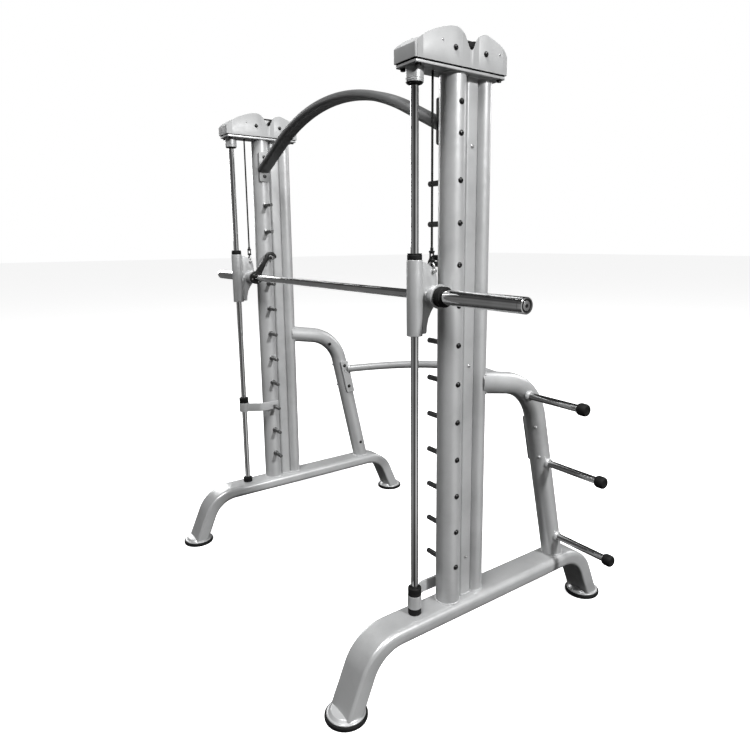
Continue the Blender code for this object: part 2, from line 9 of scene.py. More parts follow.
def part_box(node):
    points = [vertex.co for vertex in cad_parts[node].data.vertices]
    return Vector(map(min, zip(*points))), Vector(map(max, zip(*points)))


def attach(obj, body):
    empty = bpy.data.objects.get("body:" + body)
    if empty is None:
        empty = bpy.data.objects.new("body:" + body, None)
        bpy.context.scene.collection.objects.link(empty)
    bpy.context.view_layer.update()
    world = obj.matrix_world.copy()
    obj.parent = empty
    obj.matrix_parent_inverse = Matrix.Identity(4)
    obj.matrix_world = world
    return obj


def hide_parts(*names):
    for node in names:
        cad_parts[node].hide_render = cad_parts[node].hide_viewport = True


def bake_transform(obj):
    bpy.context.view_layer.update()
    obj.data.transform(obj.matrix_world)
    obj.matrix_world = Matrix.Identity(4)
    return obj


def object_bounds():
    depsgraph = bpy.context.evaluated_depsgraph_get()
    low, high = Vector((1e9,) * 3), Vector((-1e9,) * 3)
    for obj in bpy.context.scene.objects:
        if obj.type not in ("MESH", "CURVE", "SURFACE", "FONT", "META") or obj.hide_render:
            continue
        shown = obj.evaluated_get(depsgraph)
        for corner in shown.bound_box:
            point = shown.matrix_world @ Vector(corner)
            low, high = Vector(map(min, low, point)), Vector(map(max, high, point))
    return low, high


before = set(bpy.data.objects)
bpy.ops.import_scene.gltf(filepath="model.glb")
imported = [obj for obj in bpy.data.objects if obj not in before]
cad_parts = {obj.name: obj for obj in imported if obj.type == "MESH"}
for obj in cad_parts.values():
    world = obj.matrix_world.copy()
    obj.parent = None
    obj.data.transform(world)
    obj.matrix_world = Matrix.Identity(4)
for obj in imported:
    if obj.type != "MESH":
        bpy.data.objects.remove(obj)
CAD_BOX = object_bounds()

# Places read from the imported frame
ROD_LOW, ROD_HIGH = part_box("guide_rod_right")
SIDE_X = (ROD_LOW.x + ROD_HIGH.x) / 2
ROD_Y = (ROD_LOW.y + ROD_HIGH.y) / 2
BASE_FOOT, BASE_TOP = (corner.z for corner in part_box("base_right"))
PLATE_FOOT, PLATE_TOP = (corner.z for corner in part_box("head_plate_right"))
SHROUD_FOOT, SHROUD_TOP = (corner.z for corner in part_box("head_shroud_right"))


def deep(offset):
    """A place along Y, measured back from the guide rods."""
    return ROD_Y + offset


# Sizes
COLUMN_TOP = PLATE_TOP - 0.008
BASE_THICK = 0.057
BASE_WIDE = 0.116
BASE_CORNER = 0.021
BASE_MID = deep(0.3218)
BASE_FLAT_HALF = 0.4148
LEG_BEND = 0.143
LEG_ANGLE = radians(66.7)

# Column tubes: place and radius
FRONT_Y, FRONT_R = deep(0.1475), 0.042
REAR_Y, REAR_R = deep(0.272), 0.03
SPACER_Y = deep(0.2157)
SPACER_DEEP = 0.0518
SPACER_HALF_X = 0.018
SPACER_SCREW_Z = (1.795, 1.09, 0.4)
TUBE_WALL = 0.0028

PEG_COUNT = 11
PEG_TOP_Z = 1.6865
PEG_PITCH = 0.1293
PEG_RADIUS = 0.009
PEG_TIP_X = 0.611
BAR_PEG, STOP_PEG = 2, 8

BRACE_R = 0.0395
# The brace: depth at a height and lean below its bend, depth, height and fall above it
BRACE_LINE = (deep(0.705), 0.27, 0.223)
BRACE_TOP = (deep(0.285), 1.022, 0.158)
BRACE_BEND = 0.2

CROSS_R = 0.02
# The crossbar: where an end meets its plate, and how far back and up the middle bows
CROSS_END = (0.676, deep(0.612), 0.795)
CROSS_BOW = (0.358, 0.0615)
CROSS_PLATE_Z = (0.658, 0.842)
CROSS_PLATE_X = (0.6735, 0.7)
CROSS_BOLT_Z = (0.816, 0.694)

ARCH_R = 1.155
ARCH_BEND_HALF = 0.5
ARCH_TOP = 2.058
ARCH_SECTION = (0.064, 0.0345)
ARCH_FLANGE_Z = (1.8, 1.941)
ARCH_FLANGE_X = (0.047, 0.026)
ARCH_FLANGE_WIDE = 0.052
ARCH_BOLTS = (1.826, 1.917)

SHROUD_HALF_X = 0.0523
SHROUD_SHEET = 0.003
SHROUD_EASE = 0.0007
SHROUD_PROFILE = [(deep(y), z) for y, z in (
    (-0.0384, 2.05), (-0.0355, 2.054), (-0.0135, 2.072), (0.0135, 2.088), (0.044, 2.101),
    (0.075, 2.111), (0.095, 2.116), (0.113, 2.118), (0.125, 2.1165), (0.1355, 2.112),
    (0.144, 2.106), (0.152, 2.097), (0.161, 2.079), (0.168, 2.067), (0.1765, 2.063),
    (0.185, 2.069), (0.193, 2.086), (0.2, 2.099), (0.209, 2.107), (0.22, 2.112),
    (0.233, 2.115), (0.243, 2.114), (0.265, 2.107), (0.29, 2.098), (0.308, 2.088),
    (0.32, 2.076), (0.3285, 2.06))]
SHROUD_FRONT, SHROUD_REAR = SHROUD_PROFILE[0][0], SHROUD_PROFILE[-1][0]
SHROUD_SCREWS = ((deep(0.0625), 2.073), (deep(0.293), 2.068))
PULLEY_AXLES = ((deep(0.112), 2.06), (deep(0.2345), 2.06))
PULLEY_CABLE_R = 0.044
PULLEY_RIM = 0.0475
CABLE_R = 0.0038
CABLE_Y = (deep(0.068), deep(0.2785))
CABLE_LAY = 0.042

ROD_R = 0.0125
ROD_BORE = 0.013
BAR_AXIS = (deep(0.0658), 1.3326)
BAR_R = 0.0145
BAR_BORE = 0.0148
SLEEVE_R = 0.0235
SLEEVE_X = (0.7925, 1.1165)
SLEEVE_DISH = 0.0022
CARRIAGE_Z = (1.211, 1.446)
CARRIAGE_R = 0.025
HUB_R = 0.03
HUB_X = (0.657, 0.758)
GUSSET_HALF = 0.008
RING_R = 0.038
RING_X = (0.7586, 0.7641)
COLLAR_R = 0.0322
CLEVIS_Z = (1.399, 1.476)
HOOK_X = (0.6375, 0.6525)
HOOK_BAND = (0.014, 0.03)
CLAMP_R = 0.0315
WEIGHT_R = 0.019
WEIGHT_Z = (0.9, 1.35)

STOP_Z = (0.64, 0.6855)
STOP_R = 0.0235
STOP_PARKED = 0.3604
HORNS = ((deep(0.497), 0.948), (deep(0.617), 0.664), (deep(0.6887), 0.343))
HORN_R = 0.0128
HORN_END = 0.979

SIDES = ((-1, "left"), (1, "right"))


def spread(side, ends):
    """A span of X values on one side of the machine, lowest first."""
    return sorted(side * end for end in ends)


def span(low, high, steps):
    """Evenly spaced values, both ends included."""
    return [low + (high - low) * k / steps for k in range(steps + 1)]


def linked(name, data):
    made = bpy.data.objects.new(name, data)
    bpy.context.scene.collection.objects.link(made)
    return made


# Finishes
def fill_ramp(node, stops):
    bar = node.color_ramp.elements
    while len(bar) < len(stops):
        bar.new(0.5)
    for element, (where, colour) in zip(bar, stops):
        element.position = where
        element.color = (*(colour if isinstance(colour, tuple) else (colour,) * 3), 1.0)


class Finish:
    """A procedural material under construction."""

    def __init__(self, name, colour, metallic=0.0, roughness=0.5):
        self.made = bpy.data.materials.new(name)
        self.made.use_nodes = True
        self.nodes = self.made.node_tree.nodes
        self.link = self.made.node_tree.links.new
        self.shader = self.nodes["Principled BSDF"]
        self.shader.inputs["Base Color"].default_value = (*colour, 1.0)
        self.shader.inputs["Metallic"].default_value = metallic
        self.shader.inputs["Roughness"].default_value = roughness
        self.place = self.add("TexCoord").outputs["Object"]

    def add(self, kind, **values):
        node = self.nodes.new("ShaderNode" + kind)
        for socket, value in values.items():
            node.inputs[socket].default_value = value
        return node

    def stretched(self, scale):
        node = self.add("Mapping", Scale=scale)
        self.link(self.place, node.inputs["Vector"])
        return node.outputs["Vector"]

    def noise(self, scale, detail=3.0, rough=0.55, vector=None):
        node = self.add("TexNoise", Scale=scale, Detail=detail, Roughness=rough)
        self.link(vector or self.place, node.inputs["Vector"])
        return node.outputs["Fac"]

    def cells(self, scale):
        node = self.add("TexVoronoi", Scale=scale)
        self.link(self.place, node.inputs["Vector"])
        split = self.add("SeparateColor")
        self.link(node.outputs["Color"], split.inputs["Color"])
        return split.outputs["Red"]

    def ramp(self, value, *stops):
        node = self.add("ValToRGB")
        fill_ramp(node, stops)
        self.link(value, node.inputs["Fac"])
        return node.outputs["Color"]

    def mix(self, factor, first, second, kind="MIX"):
        node = self.add("Mix")
        node.data_type = "RGBA"
        node.blend_type = kind
        for index, value in ((0, factor), (6, first), (7, second)):
            if isinstance(value, bpy.types.NodeSocket):
                self.link(value, node.inputs[index])
            else:
                node.inputs[index].default_value = value
        return node.outputs[2]

    def edged(self, radius, body, level):
        """The body colour, going over to a grey where the surface turns sharply."""
        soft = self.add("Bevel", Radius=radius)
        soft.samples = 4
        dot = self.add("VectorMath")
        dot.operation = "DOT_PRODUCT"
        self.link(soft.outputs["Normal"], dot.inputs[0])
        self.link(self.add("NewGeometry").outputs["Normal"], dot.inputs[1])
        turned = self.ramp(dot.outputs["Value"], (0.72, 1.0), (0.98, 0.0))
        self.into("Base Color", self.mix(turned, body, (*grey(level), 1.0)))

    def bump(self, height, depth, strength=1.0):
        node = self.add("Bump", Strength=strength, Distance=depth)
        self.link(height, node.inputs["Height"])
        before = self.shader.inputs["Normal"].links
        if before:
            self.link(before[0].from_socket, node.inputs["Normal"])
        self.into("Normal", node.outputs["Normal"])

    def into(self, socket, value):
        self.link(value, self.shader.inputs[socket])


def grey(level, tint=(1.0, 1.0, 1.0)):
    return tuple(level * t for t in tint)


def painted(name, level, metallic, roughness, tint=(0.985, 0.995, 1.0)):
    """Powder coat: fine flake, faint mottling, orange peel and slightly rubbed edges."""
    base = grey(level, tint)
    made = Finish(name, base, metallic, roughness)
    mottle = made.ramp(made.noise(7.0, 4.0), (0.35, grey(level * 0.9, tint)), (0.5, base),
                       (0.68, grey(min(level * 1.06, 0.95), tint)))
    flake = made.ramp(made.cells(1400.0), (0.0, 0.9), (1.0, 1.0))
    made.edged(0.0016, made.mix(1.0, mottle, flake, "MULTIPLY"), min(level * 1.12, 0.95))
    made.into("Roughness", made.ramp(made.noise(60.0, 5.0), (0.3, roughness - 0.05),
                                     (0.7, roughness + 0.06)))
    made.bump(made.noise(420.0, 2.0), 0.00012, 0.3)
    made.bump(made.noise(1900.0, 1.0), 0.00004, 0.35)
    return made.made


def polished(name, level, roughness, along, metallic=1.0):
    """Plated steel with fine draw lines along one axis and smudges."""
    made = Finish(name, grey(level), metallic, roughness)
    stretch = [900.0, 900.0, 900.0]
    stretch["xyz".index(along)] = 6.0
    lines = made.noise(1.0, 3.0, 0.6, made.stretched(stretch))
    smudge = made.noise(14.0, 5.0)
    tone = made.ramp(smudge, (0.3, grey(level * 0.88)), (0.62, grey(level)))
    made.edged(0.001, tone, level * 0.8)
    made.into("Roughness", made.mix(
        0.5, made.ramp(lines, (0.25, roughness * 0.6), (0.8, roughness * 1.6)),
        made.ramp(smudge, (0.35, roughness * 0.7), (0.75, roughness * 1.5))))
    made.bump(lines, 0.00003, 0.2)
    return made.made


def clouded(name, level, metallic, cloud, tones, gloss, grain, worn=0.0):
    """Mottled in tone and gloss, with a grain: plated hardware, mouldings and castings."""
    made = Finish(name, grey(level), metallic)
    cloud = made.noise(*cloud)
    tone = made.ramp(cloud, *((at, grey(min(level * part, 0.95))) for at, part in tones))
    made.into("Base Color", tone)
    if worn:
        made.edged(0.0008, tone, worn)
    made.into("Roughness", made.ramp(cloud, *gloss))
    scale, detail, depth, strength = grain
    made.bump(made.noise(scale, detail), depth, strength)
    return made.made


def plated(name, level, roughness):
    return clouded(name, level, 1.0, (160.0, 5.0), ((0.3, 0.7), (0.55, 1.0), (0.75, 1.2)),
                   ((0.3, roughness + 0.1), (0.7, roughness - 0.06)),
                   (900.0, 3.0, 0.00005, 0.35), min(level * 1.7 + 0.05, 0.85))


def moulded(name, level, roughness, grain, depth):
    made = clouded(name, level, 0.0, (45.0, 6.0, 0.65), ((0.4, 1.0), (0.62, 1.35), (0.85, 2.2)),
                   ((0.35, roughness - 0.08), (0.75, roughness + 0.12)), (grain, 3.0, depth, 0.6))
    made.node_tree.nodes["Principled BSDF"].inputs["Specular IOR Level"].default_value = 0.14
    return made


SILVER = painted("satin_silver_paint", 0.49, 0.36, 0.34)
COVER = painted("light_grey_cover", 0.31, 0.08, 0.46)
# Painted shade: the arch plates are the frame's satin silver, here in a darker and duller copy that
# stands in for the shade they sit in under the arch ends.
SHADED_PLATE_PAINT = painted("shaded_silver_plate", 0.24, 0.16, 0.5)
# Painted shade: the arch is given a dark grey in place of the frame's silver, standing in for the
# shade on its front and underside.
ARCH_SHADE_PAINT = painted("dark_grey_paint", 0.17, 0.35, 0.4)
CHROME_Z = polished("chrome_upright", 0.78, 0.05, "z")
CHROME_X = polished("chrome_across", 0.78, 0.06, "x")
PEG_STEEL = polished("peg_steel", 0.15, 0.3, "x", 0.85)
# Painted shade: the horns are chrome like the bar's sleeves; this darker, rougher copy stands in for
# their dimmer reflections.
HORN_SHADED_CHROME = polished("chrome_horn", 0.5, 0.16, "x")
ZINC = plated("zinc_plated_steel", 0.55, 0.32)
BLACKENED = plated("blackened_steel", 0.045, 0.36)
RUBBER = moulded("black_rubber", 0.007, 0.6, 800.0, 0.0001)
NYLON = moulded("black_nylon", 0.014, 0.42, 1500.0, 0.00005)
CABLE_COAT = moulded("black_cable_coat", 0.01, 0.4, 1500.0, 0.00003)
IRON = clouded("grey_cast_iron", 0.17, 0.6, (90.0, 6.0, 0.7), ((0.3, 0.6), (0.7, 1.0)),
               ((0.3, 0.75), (0.7, 0.5)), (350.0, 5.0, 0.0003, 0.7))

# Shape helpers: each returns points and faces
AXES = {"x": (1, 2, 0), "y": (0, 2, 1), "z": (0, 1, 2)}


def placed(u, v, w, axis):
    point = [0.0, 0.0, 0.0]
    for index, value in zip(AXES[axis], (u, v, w)):
        point[index] = value
    return Vector(point)


def band(low, high, count):
    """Faces between two loops of points, given where each loop starts."""
    return [[low + k, low + (k + 1) % count, high + (k + 1) % count, high + k]
            for k in range(count)]


def softened(loop, radius, steps=3):
    """Round the corners of a flat loop; points on the turning axis stay sharp."""
    made = []
    for i, here in enumerate(loop):
        if here[0] < 1e-9:
            made.append(here)
            continue
        p, a, b = Vector(here), Vector(loop[i - 1]), Vector(loop[(i + 1) % len(loop)])
        reach = min(radius, 0.45 * (a - p).length, 0.45 * (b - p).length)
        start, end = p + (a - p).normalized() * reach, p + (b - p).normalized() * reach
        for t in span(0, 1, steps):
            made.append(tuple(start * (1 - t) ** 2 + p * 2 * t * (1 - t) + end * t * t))
    return made


def lathe(profile, sides, axis, centre=(0.0, 0.0)):
    """Turn a closed (radius, height) loop; a third entry makes that ring six-sided."""
    verts = []
    for r, h, *six in profile:
        for k in range(sides):
            a = 2 * pi * k / sides
            flat = r
            if six:
                flat = r * cos(pi / 6) / cos(a % (pi / 3) - pi / 6)
            verts.append(placed(centre[0] + flat * cos(a), centre[1] + flat * sin(a), h, axis))
    faces = []
    count = len(profile)
    for i in range(count):
        j = (i + 1) % count
        shut = [profile[n][0] < 1e-9 for n in (i, j)]
        if not all(shut):
            faces += band(i * sides, j * sides, sides)
        if any(shut) and not all(shut):
            for face in faces[-sides:]:
                face.pop(1 if shut[0] else 2)
    return verts, faces


def ring(inner, outer, low, high, axis, centre, sides=48, soft=0.0008, steps=3):
    loop = ((inner, low), (outer, low), (outer, high), (inner, high))
    return lathe(softened(loop, soft, steps), sides, axis, centre)


def rod(radius, *place):
    return ring(0.0, radius, *place)


def prism(outline, low, high, axis):
    count = len(outline)
    verts = [placed(u, v, h, axis) for h in (low, high) for u, v in outline]
    faces = [list(range(count))[::-1], [count + k for k in range(count)]]
    return verts, faces + band(0, count, count)


def pipe(outer, inner, low, high, axis):
    count = len(outer)
    verts = [placed(u, v, h, axis) for h in (low, high) for loop in (outer, inner) for u, v in loop]
    faces = []
    for low, high in ((0, 2), (1, 3), (0, 1), (2, 3)):
        faces += band(low * count, high * count, count)
    return verts, faces


def circle(radius, sides, centre=(0.0, 0.0)):
    return [(centre[0] + radius * cos(2 * pi * k / sides),
             centre[1] + radius * sin(2 * pi * k / sides)) for k in range(sides)]


def rounded(wide, high, corner, steps, centre=(0.0, 0.0)):
    loop = []
    for turn, (sx, sy) in enumerate(((1, 1), (-1, 1), (-1, -1), (1, -1))):
        for a in span(pi / 2 * turn, pi / 2 * (turn + 1), steps):
            loop.append((centre[0] + sx * (wide / 2 - corner) + corner * cos(a),
                         centre[1] + sy * (high / 2 - corner) + corner * sin(a)))
    return loop


def sweep(path, section, lateral=(1, 0, 0), cuts=(None, None), closed=False, twist=0.0):
    """Carry a section along a path. Cuts are functions taking an end's points to a surface."""
    path = [Vector(p) for p in path]
    last = len(path) - 1
    side = Vector(lateral).normalized()
    verts = []
    run = 0.0
    for i, here in enumerate(path):
        back = path[i - 1] if closed or i else here
        ahead = path[(i + 1) % len(path)] if closed or i < last else here
        along = (ahead - back).normalized()
        up = along.cross(side).normalized()
        across = up.cross(along).normalized()
        run += (here - path[i - 1]).length if i else 0.0
        c, s = cos(twist * run), sin(twist * run)
        shape = section(i) if callable(section) else section
        loop = [here + across * (a * c - b * s) + up * (a * s + b * c) for a, b in shape]
        cut = cuts[0] if i == 0 else cuts[1] if i == last else None
        if cut:
            loop = [cut(p, -along if i == 0 else along) for p in loop]
        verts += loop
    count = len(shape)
    faces = []
    if not closed:
        faces = [list(range(count))[::-1], [last * count + k for k in range(count)]]
    for i in range(last + 1 if closed else last):
        faces += band(i * count, (i + 1) % len(path) * count, count)
    return verts, faces


def to_plane(point, normal):
    point, normal = Vector(point), Vector(normal)
    return lambda p, along: p + along * ((point - p).dot(normal) / along.dot(normal))


def dense(path, pitch, closed=False):
    """The path's points with more put in between, about a pitch apart."""
    path = [Vector(p) for p in path]
    if closed:
        path.append(path[0])
    made = []
    for a, b in zip(path, path[1:]):
        count = max(1, round((b - a).length / pitch))
        made += [a.lerp(b, k / count) for k in range(count)]
    return made if closed else made + [path[-1]]


def bead(path, size=0.0032, closed=True, lateral=(0, 0, 1)):
    """A ripple-topped weld bead along a path, three rows to a ripple."""
    def section(i):
        return circle(size * (0.9 + 0.14 * sin(2 * pi * i / 3)
                              + 0.07 * sin(i * 0.37)), 8)
    return sweep(dense(path, 0.0028 / 3, closed), section, lateral, closed=closed)


def rope(path):
    """Six-strand cable under a thin coat."""
    strands = [(u * bulge, v * bulge) for u, v, bulge in
               ((*p, 0.93 + 0.07 * abs(cos(pi * k / 4)))
                for k, p in enumerate(circle(CABLE_R, 24)))]
    return sweep(dense(path, 0.004), strands, twist=2 * pi / CABLE_LAY)


def bent(points, steps):
    """Smooth curve through flat points (Catmull-Rom)."""
    made = []
    for i in range(len(points) - 1):
        p = [Vector(points[min(max(i + k, 0), len(points) - 1)]) for k in (-1, 0, 1, 2)]
        for k in range(steps):
            t = k / steps
            made.append((p[1] * 2 + (p[2] - p[0]) * t
                         + (p[0] * 2 - p[1] * 5 + p[2] * 4 - p[3]) * t * t
                         + (p[1] * 3 - p[0] - p[2] * 3 + p[3]) * t ** 3) / 2)
    made.append(Vector(points[-1]))
    return made


# Screw heads: sides, washer thickness, and a profile in parts of the head's radius and height
DOME = (24, 0.0016, ((0.0, 0.0), (1.0, 0.0), (1.0, 0.22), (0.9, 0.62), (0.68, 0.92), (0.55, 1.0),
                     (0.42, 1.0, 1), (0.42, 0.45, 1), (0.0, 0.45)))
HEX = (48, 0.0018, ((0.0, 0.0), (1.0, 0.0, 1), (1.0, 0.84, 1), (0.9, 0.98), (0.84, 1.0),
                    (0.0, 1.0)))


def bolts(kind, radius, height, foot, out, axis, centres, washer=0.0):
    """Screw heads that face +-axis from the foot, on washers where a washer is given."""
    sides, thick, profile = kind
    base = foot + out * (thick - 0.0002) if washer else foot
    loop = [(radius * r, base + out * height * h, *six) for r, h, *six in profile]
    flat = sorted((foot - out * 0.0005, foot + out * thick))
    shapes = []
    for centre in centres:
        if washer:
            shapes.append(ring(radius * 0.4, washer, *flat, axis, centre, 32, 0.0004))
        shapes.append(lathe(loop, sides, axis, centre))
    return shapes


def round_edges(work, width):
    sharp = [e for e in work.edges
             if len(e.link_faces) == 2 and e.calc_face_angle(0.0) > radians(38)]
    bmesh.ops.bevel(work, geom=sharp, offset=width, segments=3, profile=0.5,
                    affect="EDGES", clamp_overlap=True)


def mesh_of(shapes):
    """One clean mesh from several closed shapes; (verts, faces, width) rounds sharp edges."""
    whole = bmesh.new()
    for verts, faces, *width in shapes:
        part = bmesh.new()
        points = [part.verts.new(p) for p in verts]
        for face in faces:
            part.faces.new([points[i] for i in face])
        bmesh.ops.remove_doubles(part, verts=part.verts, dist=1e-7)
        bmesh.ops.recalc_face_normals(part, faces=part.faces)
        if width:
            round_edges(part, *width)
        step = bpy.data.meshes.new("step")
        part.to_mesh(step)
        part.free()
        whole.from_mesh(step)
        bpy.data.meshes.remove(step)
    made = bpy.data.meshes.new("piece")
    whole.to_mesh(made)
    whole.free()
    return made


def carved(shape, cutters, width):
    """Take the cutters out of a closed shape, whose edges are then rounded by the width."""
    target, *others = [linked("step", mesh_of([solid])) for solid in (shape, *cutters)]
    for other in others:
        step = target.modifiers.new("cut", "BOOLEAN")
        step.operation = "DIFFERENCE"
        step.solver = "EXACT"
        step.object = other
    bpy.context.view_layer.update()
    result = bpy.data.meshes.new_from_object(
        target.evaluated_get(bpy.context.evaluated_depsgraph_get()))
    for item in (target, *others):
        bpy.data.objects.remove(item, do_unlink=True)
    work = bmesh.new()
    work.from_mesh(result)
    bmesh.ops.dissolve_limit(work, angle_limit=radians(0.5), verts=work.verts, edges=work.edges)
    made = [v.co.copy() for v in work.verts], [[v.index for v in f.verts] for f in work.faces]
    work.free()
    bpy.data.meshes.remove(result)
    return (*made, width)


def piece(name, shapes, finish, body="frame", node=None, smooth=35.0):
    """A named piece that rides on a body and may stand for a CAD node."""
    mesh = mesh_of(shapes)
    mesh.name = name
    mesh.materials.append(finish)
    mesh.shade_smooth()
    mesh.set_sharp_from_angle(angle=radians(smooth))
    made = linked(name, mesh)
    if body:
        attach(made, body)
    if node:
        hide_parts(node)
    return made


# Frame
def brace_depth(z):
    depth, height, slope = BRACE_LINE
    return depth - slope * (z - height)


def base(side, name):
    x = side * SIDE_X
    centre_z = BASE_TOP - BASE_THICK / 2
    half = [(0.0, centre_z)]
    for a in span(0, LEG_ANGLE, 26):
        half.append((BASE_FLAT_HALF + LEG_BEND * sin(a), centre_z - LEG_BEND * (1 - cos(a))))
    reach, height = half[-1]
    half.append((reach + (height - BASE_FOOT) / tan(LEG_ANGLE), BASE_FOOT))
    path = [(x, BASE_MID - d, z) for d, z in reversed(half)]
    path += [(x, BASE_MID + d, z) for d, z in half[1:]]

    def section(i):
        """The bends pull the tube's corners tighter towards the feet."""
        past_bend = (abs(path[i][1] - BASE_MID) - BASE_FLAT_HALF) / 0.12
        t = min(max(past_bend, 0.0), 1.0)
        return rounded(BASE_WIDE - 0.005 * t, BASE_THICK, BASE_CORNER - 0.011 * t, 10)
    cut = to_plane((0, 0, BASE_FOOT), (0, 0, 1))
    piece(f"base_rail_{name}", [sweep(path, section, cuts=(cut, cut))], SILVER, "frame",
          f"base_{name}")
    for end in ("front", "rear"):
        low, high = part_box(f"foot_pad_{end}_{name}")
        centre = ((low.x + high.x) / 2, (low.y + high.y) / 2)
        rim = (high.y - low.y) / 2
        sole = [(rim - inset, z) for inset, z in ((0.005, 0.0), (0.001, 0.0015), (0.0, 0.004),
                                                  (0.0, 0.011), (0.0015, 0.0135), (0.0045, 0.0145))]
        piece(f"foot_rubber_{end}_{name}",
              [lathe([(0.0, 0.0), *sole, (0.0, 0.0145)], 96, "z", centre)], RUBBER, "frame",
              f"foot_pad_{end}_{name}")
        flange = [(rim - inset, z) for inset, z in ((0.0068, 0.0147), (0.0062, 0.017),
                                                    (0.0075, 0.0195), (0.0105, 0.0202),
                                                    (0.0125, 0.0205), (0.021, 0.029))]
        loop = softened([(0.0, 0.0147), *flange, (0.0, 0.033)], 0.0014, 4)
        piece(f"foot_flange_{end}_{name}", [lathe(loop, 96, "z", centre)], SILVER)


def columns(side, name):
    x = side * SIDE_X
    foot = BASE_TOP - 0.0015
    tubes = (((x, FRONT_Y), FRONT_R), ((x, REAR_Y), REAR_R))
    for label, (centre, r) in zip(("front", "rear"), tubes):
        walls = [circle(size, 96, centre) for size in (r, r - TUBE_WALL)]
        piece(f"column_{label}_{name}", [pipe(*walls, foot, COLUMN_TOP, "z")], SILVER, "frame",
              f"column_{label}_tube_{name}")
    walls = [rounded(2 * SPACER_HALF_X - gap, SPACER_DEEP - gap, corner, 8, (x, SPACER_Y))
             for gap, corner in ((0.0, 0.01), (2 * TUBE_WALL, 0.0072))]
    piece(f"column_spacer_{name}", [pipe(*walls, foot, COLUMN_TOP, "z")], SILVER, "frame",
          f"column_spacer_tube_{name}")
    welds = []
    for z in (BASE_TOP + 0.0006, COLUMN_TOP - 0.0006):
        welds += [bead([(*p, z) for p in circle(r + 0.0006, 72, centre)]) for centre, r in tubes]
        for edge in (x - SPACER_HALF_X - 0.0004, x + SPACER_HALF_X + 0.0004):
            welds.append(bead([(edge, SPACER_Y + end, z) for end in (-0.022, 0.022)], closed=False))
    piece(f"column_welds_{name}", welds, SILVER)

    pegs = [(FRONT_Y, PEG_TOP_Z - k * PEG_PITCH) for k in range(PEG_COUNT)]
    root, tip = side * (SIDE_X - FRONT_R), side * PEG_TIP_X
    loop = [(0.0, tip), (PEG_RADIUS - 0.0016, tip), (PEG_RADIUS, tip + side * 0.0016)]
    loop += [(r, root + side * h) for r, h in ((PEG_RADIUS, -0.0062), (0.0118, -0.0056),
                                               (0.013, -0.0042), (0.013, 0.003), (0.0, 0.003))]
    piece(f"pegs_{name}", [lathe(loop, 36, "x", peg) for peg in pegs], PEG_STEEL, "frame",
          f"catch_pegs_{name}")
    pegs += [(FRONT_Y, z) for z in ARCH_BOLTS]
    piece(f"peg_bolts_{name}",
          bolts(DOME, 0.0082, 0.0052, side * (SIDE_X + FRONT_R - 0.0012), side, "x", pegs, 0.0096),
          BLACKENED)
    piece(f"spacer_screws_{name}",
          bolts(DOME, 0.0042, 0.0028, side * (SIDE_X + SPACER_HALF_X - 0.0003), side, "x",
                [(SPACER_Y, z) for z in SPACER_SCREW_Z], 0.006), ZINC)


def rear_brace(side, name):
    """A bent tube from the rear column down to the base, coped onto the column."""
    x = side * SIDE_X
    depth, height, slope = BRACE_LINE
    top_y, top_z, fall = BRACE_TOP
    corner_y = (depth - slope * (top_z + fall * top_y - height)) / (1 - slope * fall)
    corner = Vector((corner_y, top_z - fall * (corner_y - top_y)))
    first = Vector((-1.0, fall)).normalized()
    second = Vector((slope, -1.0)).normalized()
    turn = pi - first.angle(second)
    reach = BRACE_BEND * tan(turn / 2)
    middle = corner + (first + second).normalized() * (BRACE_BEND / cos(turn / 2))
    start = corner + first * reach - middle
    finish = corner + second * reach - middle
    begin = REAR_Y + 0.08
    points = [Vector((begin, top_z - fall * (begin - top_y)))]
    for t in span(0, 1, 28):
        mixed = (start * sin((1 - t) * turn) + finish * sin(t * turn)) / sin(turn)
        points.append(middle + mixed)
    foot = BASE_TOP - 0.001
    points.append(Vector((brace_depth(foot), foot)))

    def to_saddle(p, along):
        wide = abs(p.x - x)
        cope = sqrt((REAR_R - 0.0005) ** 2 - min(wide, REAR_R - 0.001) ** 2)
        target = REAR_Y + (cope if wide < REAR_R else 0.0)
        return p + along * ((target - p.y) / along.y)
    piece(f"brace_{name}",
          [sweep([(x, *p) for p in points], circle(BRACE_R, 64),
                 cuts=(to_saddle, to_plane((0, 0, foot), (0, 0, 1))))],
          SILVER, "frame", f"rear_brace_{name}")

    oval = [(x + u, brace_depth(BASE_TOP) + v * hypot(1.0, slope), BASE_TOP + 0.0006)
            for u, v in circle(BRACE_R + 0.0005, 72)]
    seams = ([], [])
    for u, v in circle(BRACE_R, 72):
        if abs(u) <= REAR_R:
            y = REAR_Y + sqrt(REAR_R ** 2 - u * u)
            seams[v < 0].append((x + u * 1.01, y + 0.0008,
                                 top_z - fall * (y - top_y) + v * hypot(1, fall) * 1.01))
    piece(f"brace_welds_{name}",
          [bead(oval)] + [bead(seam, closed=False, lateral=(0, 1, 0)) for seam in seams], SILVER)

    facing = Matrix.Rotation(radians(-50 if side > 0 else 230), 4, "Z")
    studs = []
    for z in CROSS_BOLT_Z:
        place = Matrix.Translation((x, brace_depth(z), z)) @ facing
        for verts, faces in bolts(DOME, 0.0052, 0.006, BRACE_R - 0.0008, 1, "x", [(0.0, 0.0)],
                                  0.0066):
            studs.append(([place @ p for p in verts], faces))
    piece(f"brace_studs_{name}", studs, SILVER)
    piece(f"brace_bolts_{name}",
          bolts(DOME, 0.0066, 0.0043, side * (SIDE_X - BRACE_R + 0.0008), -side, "x", HORNS,
                0.0088), BLACKENED)


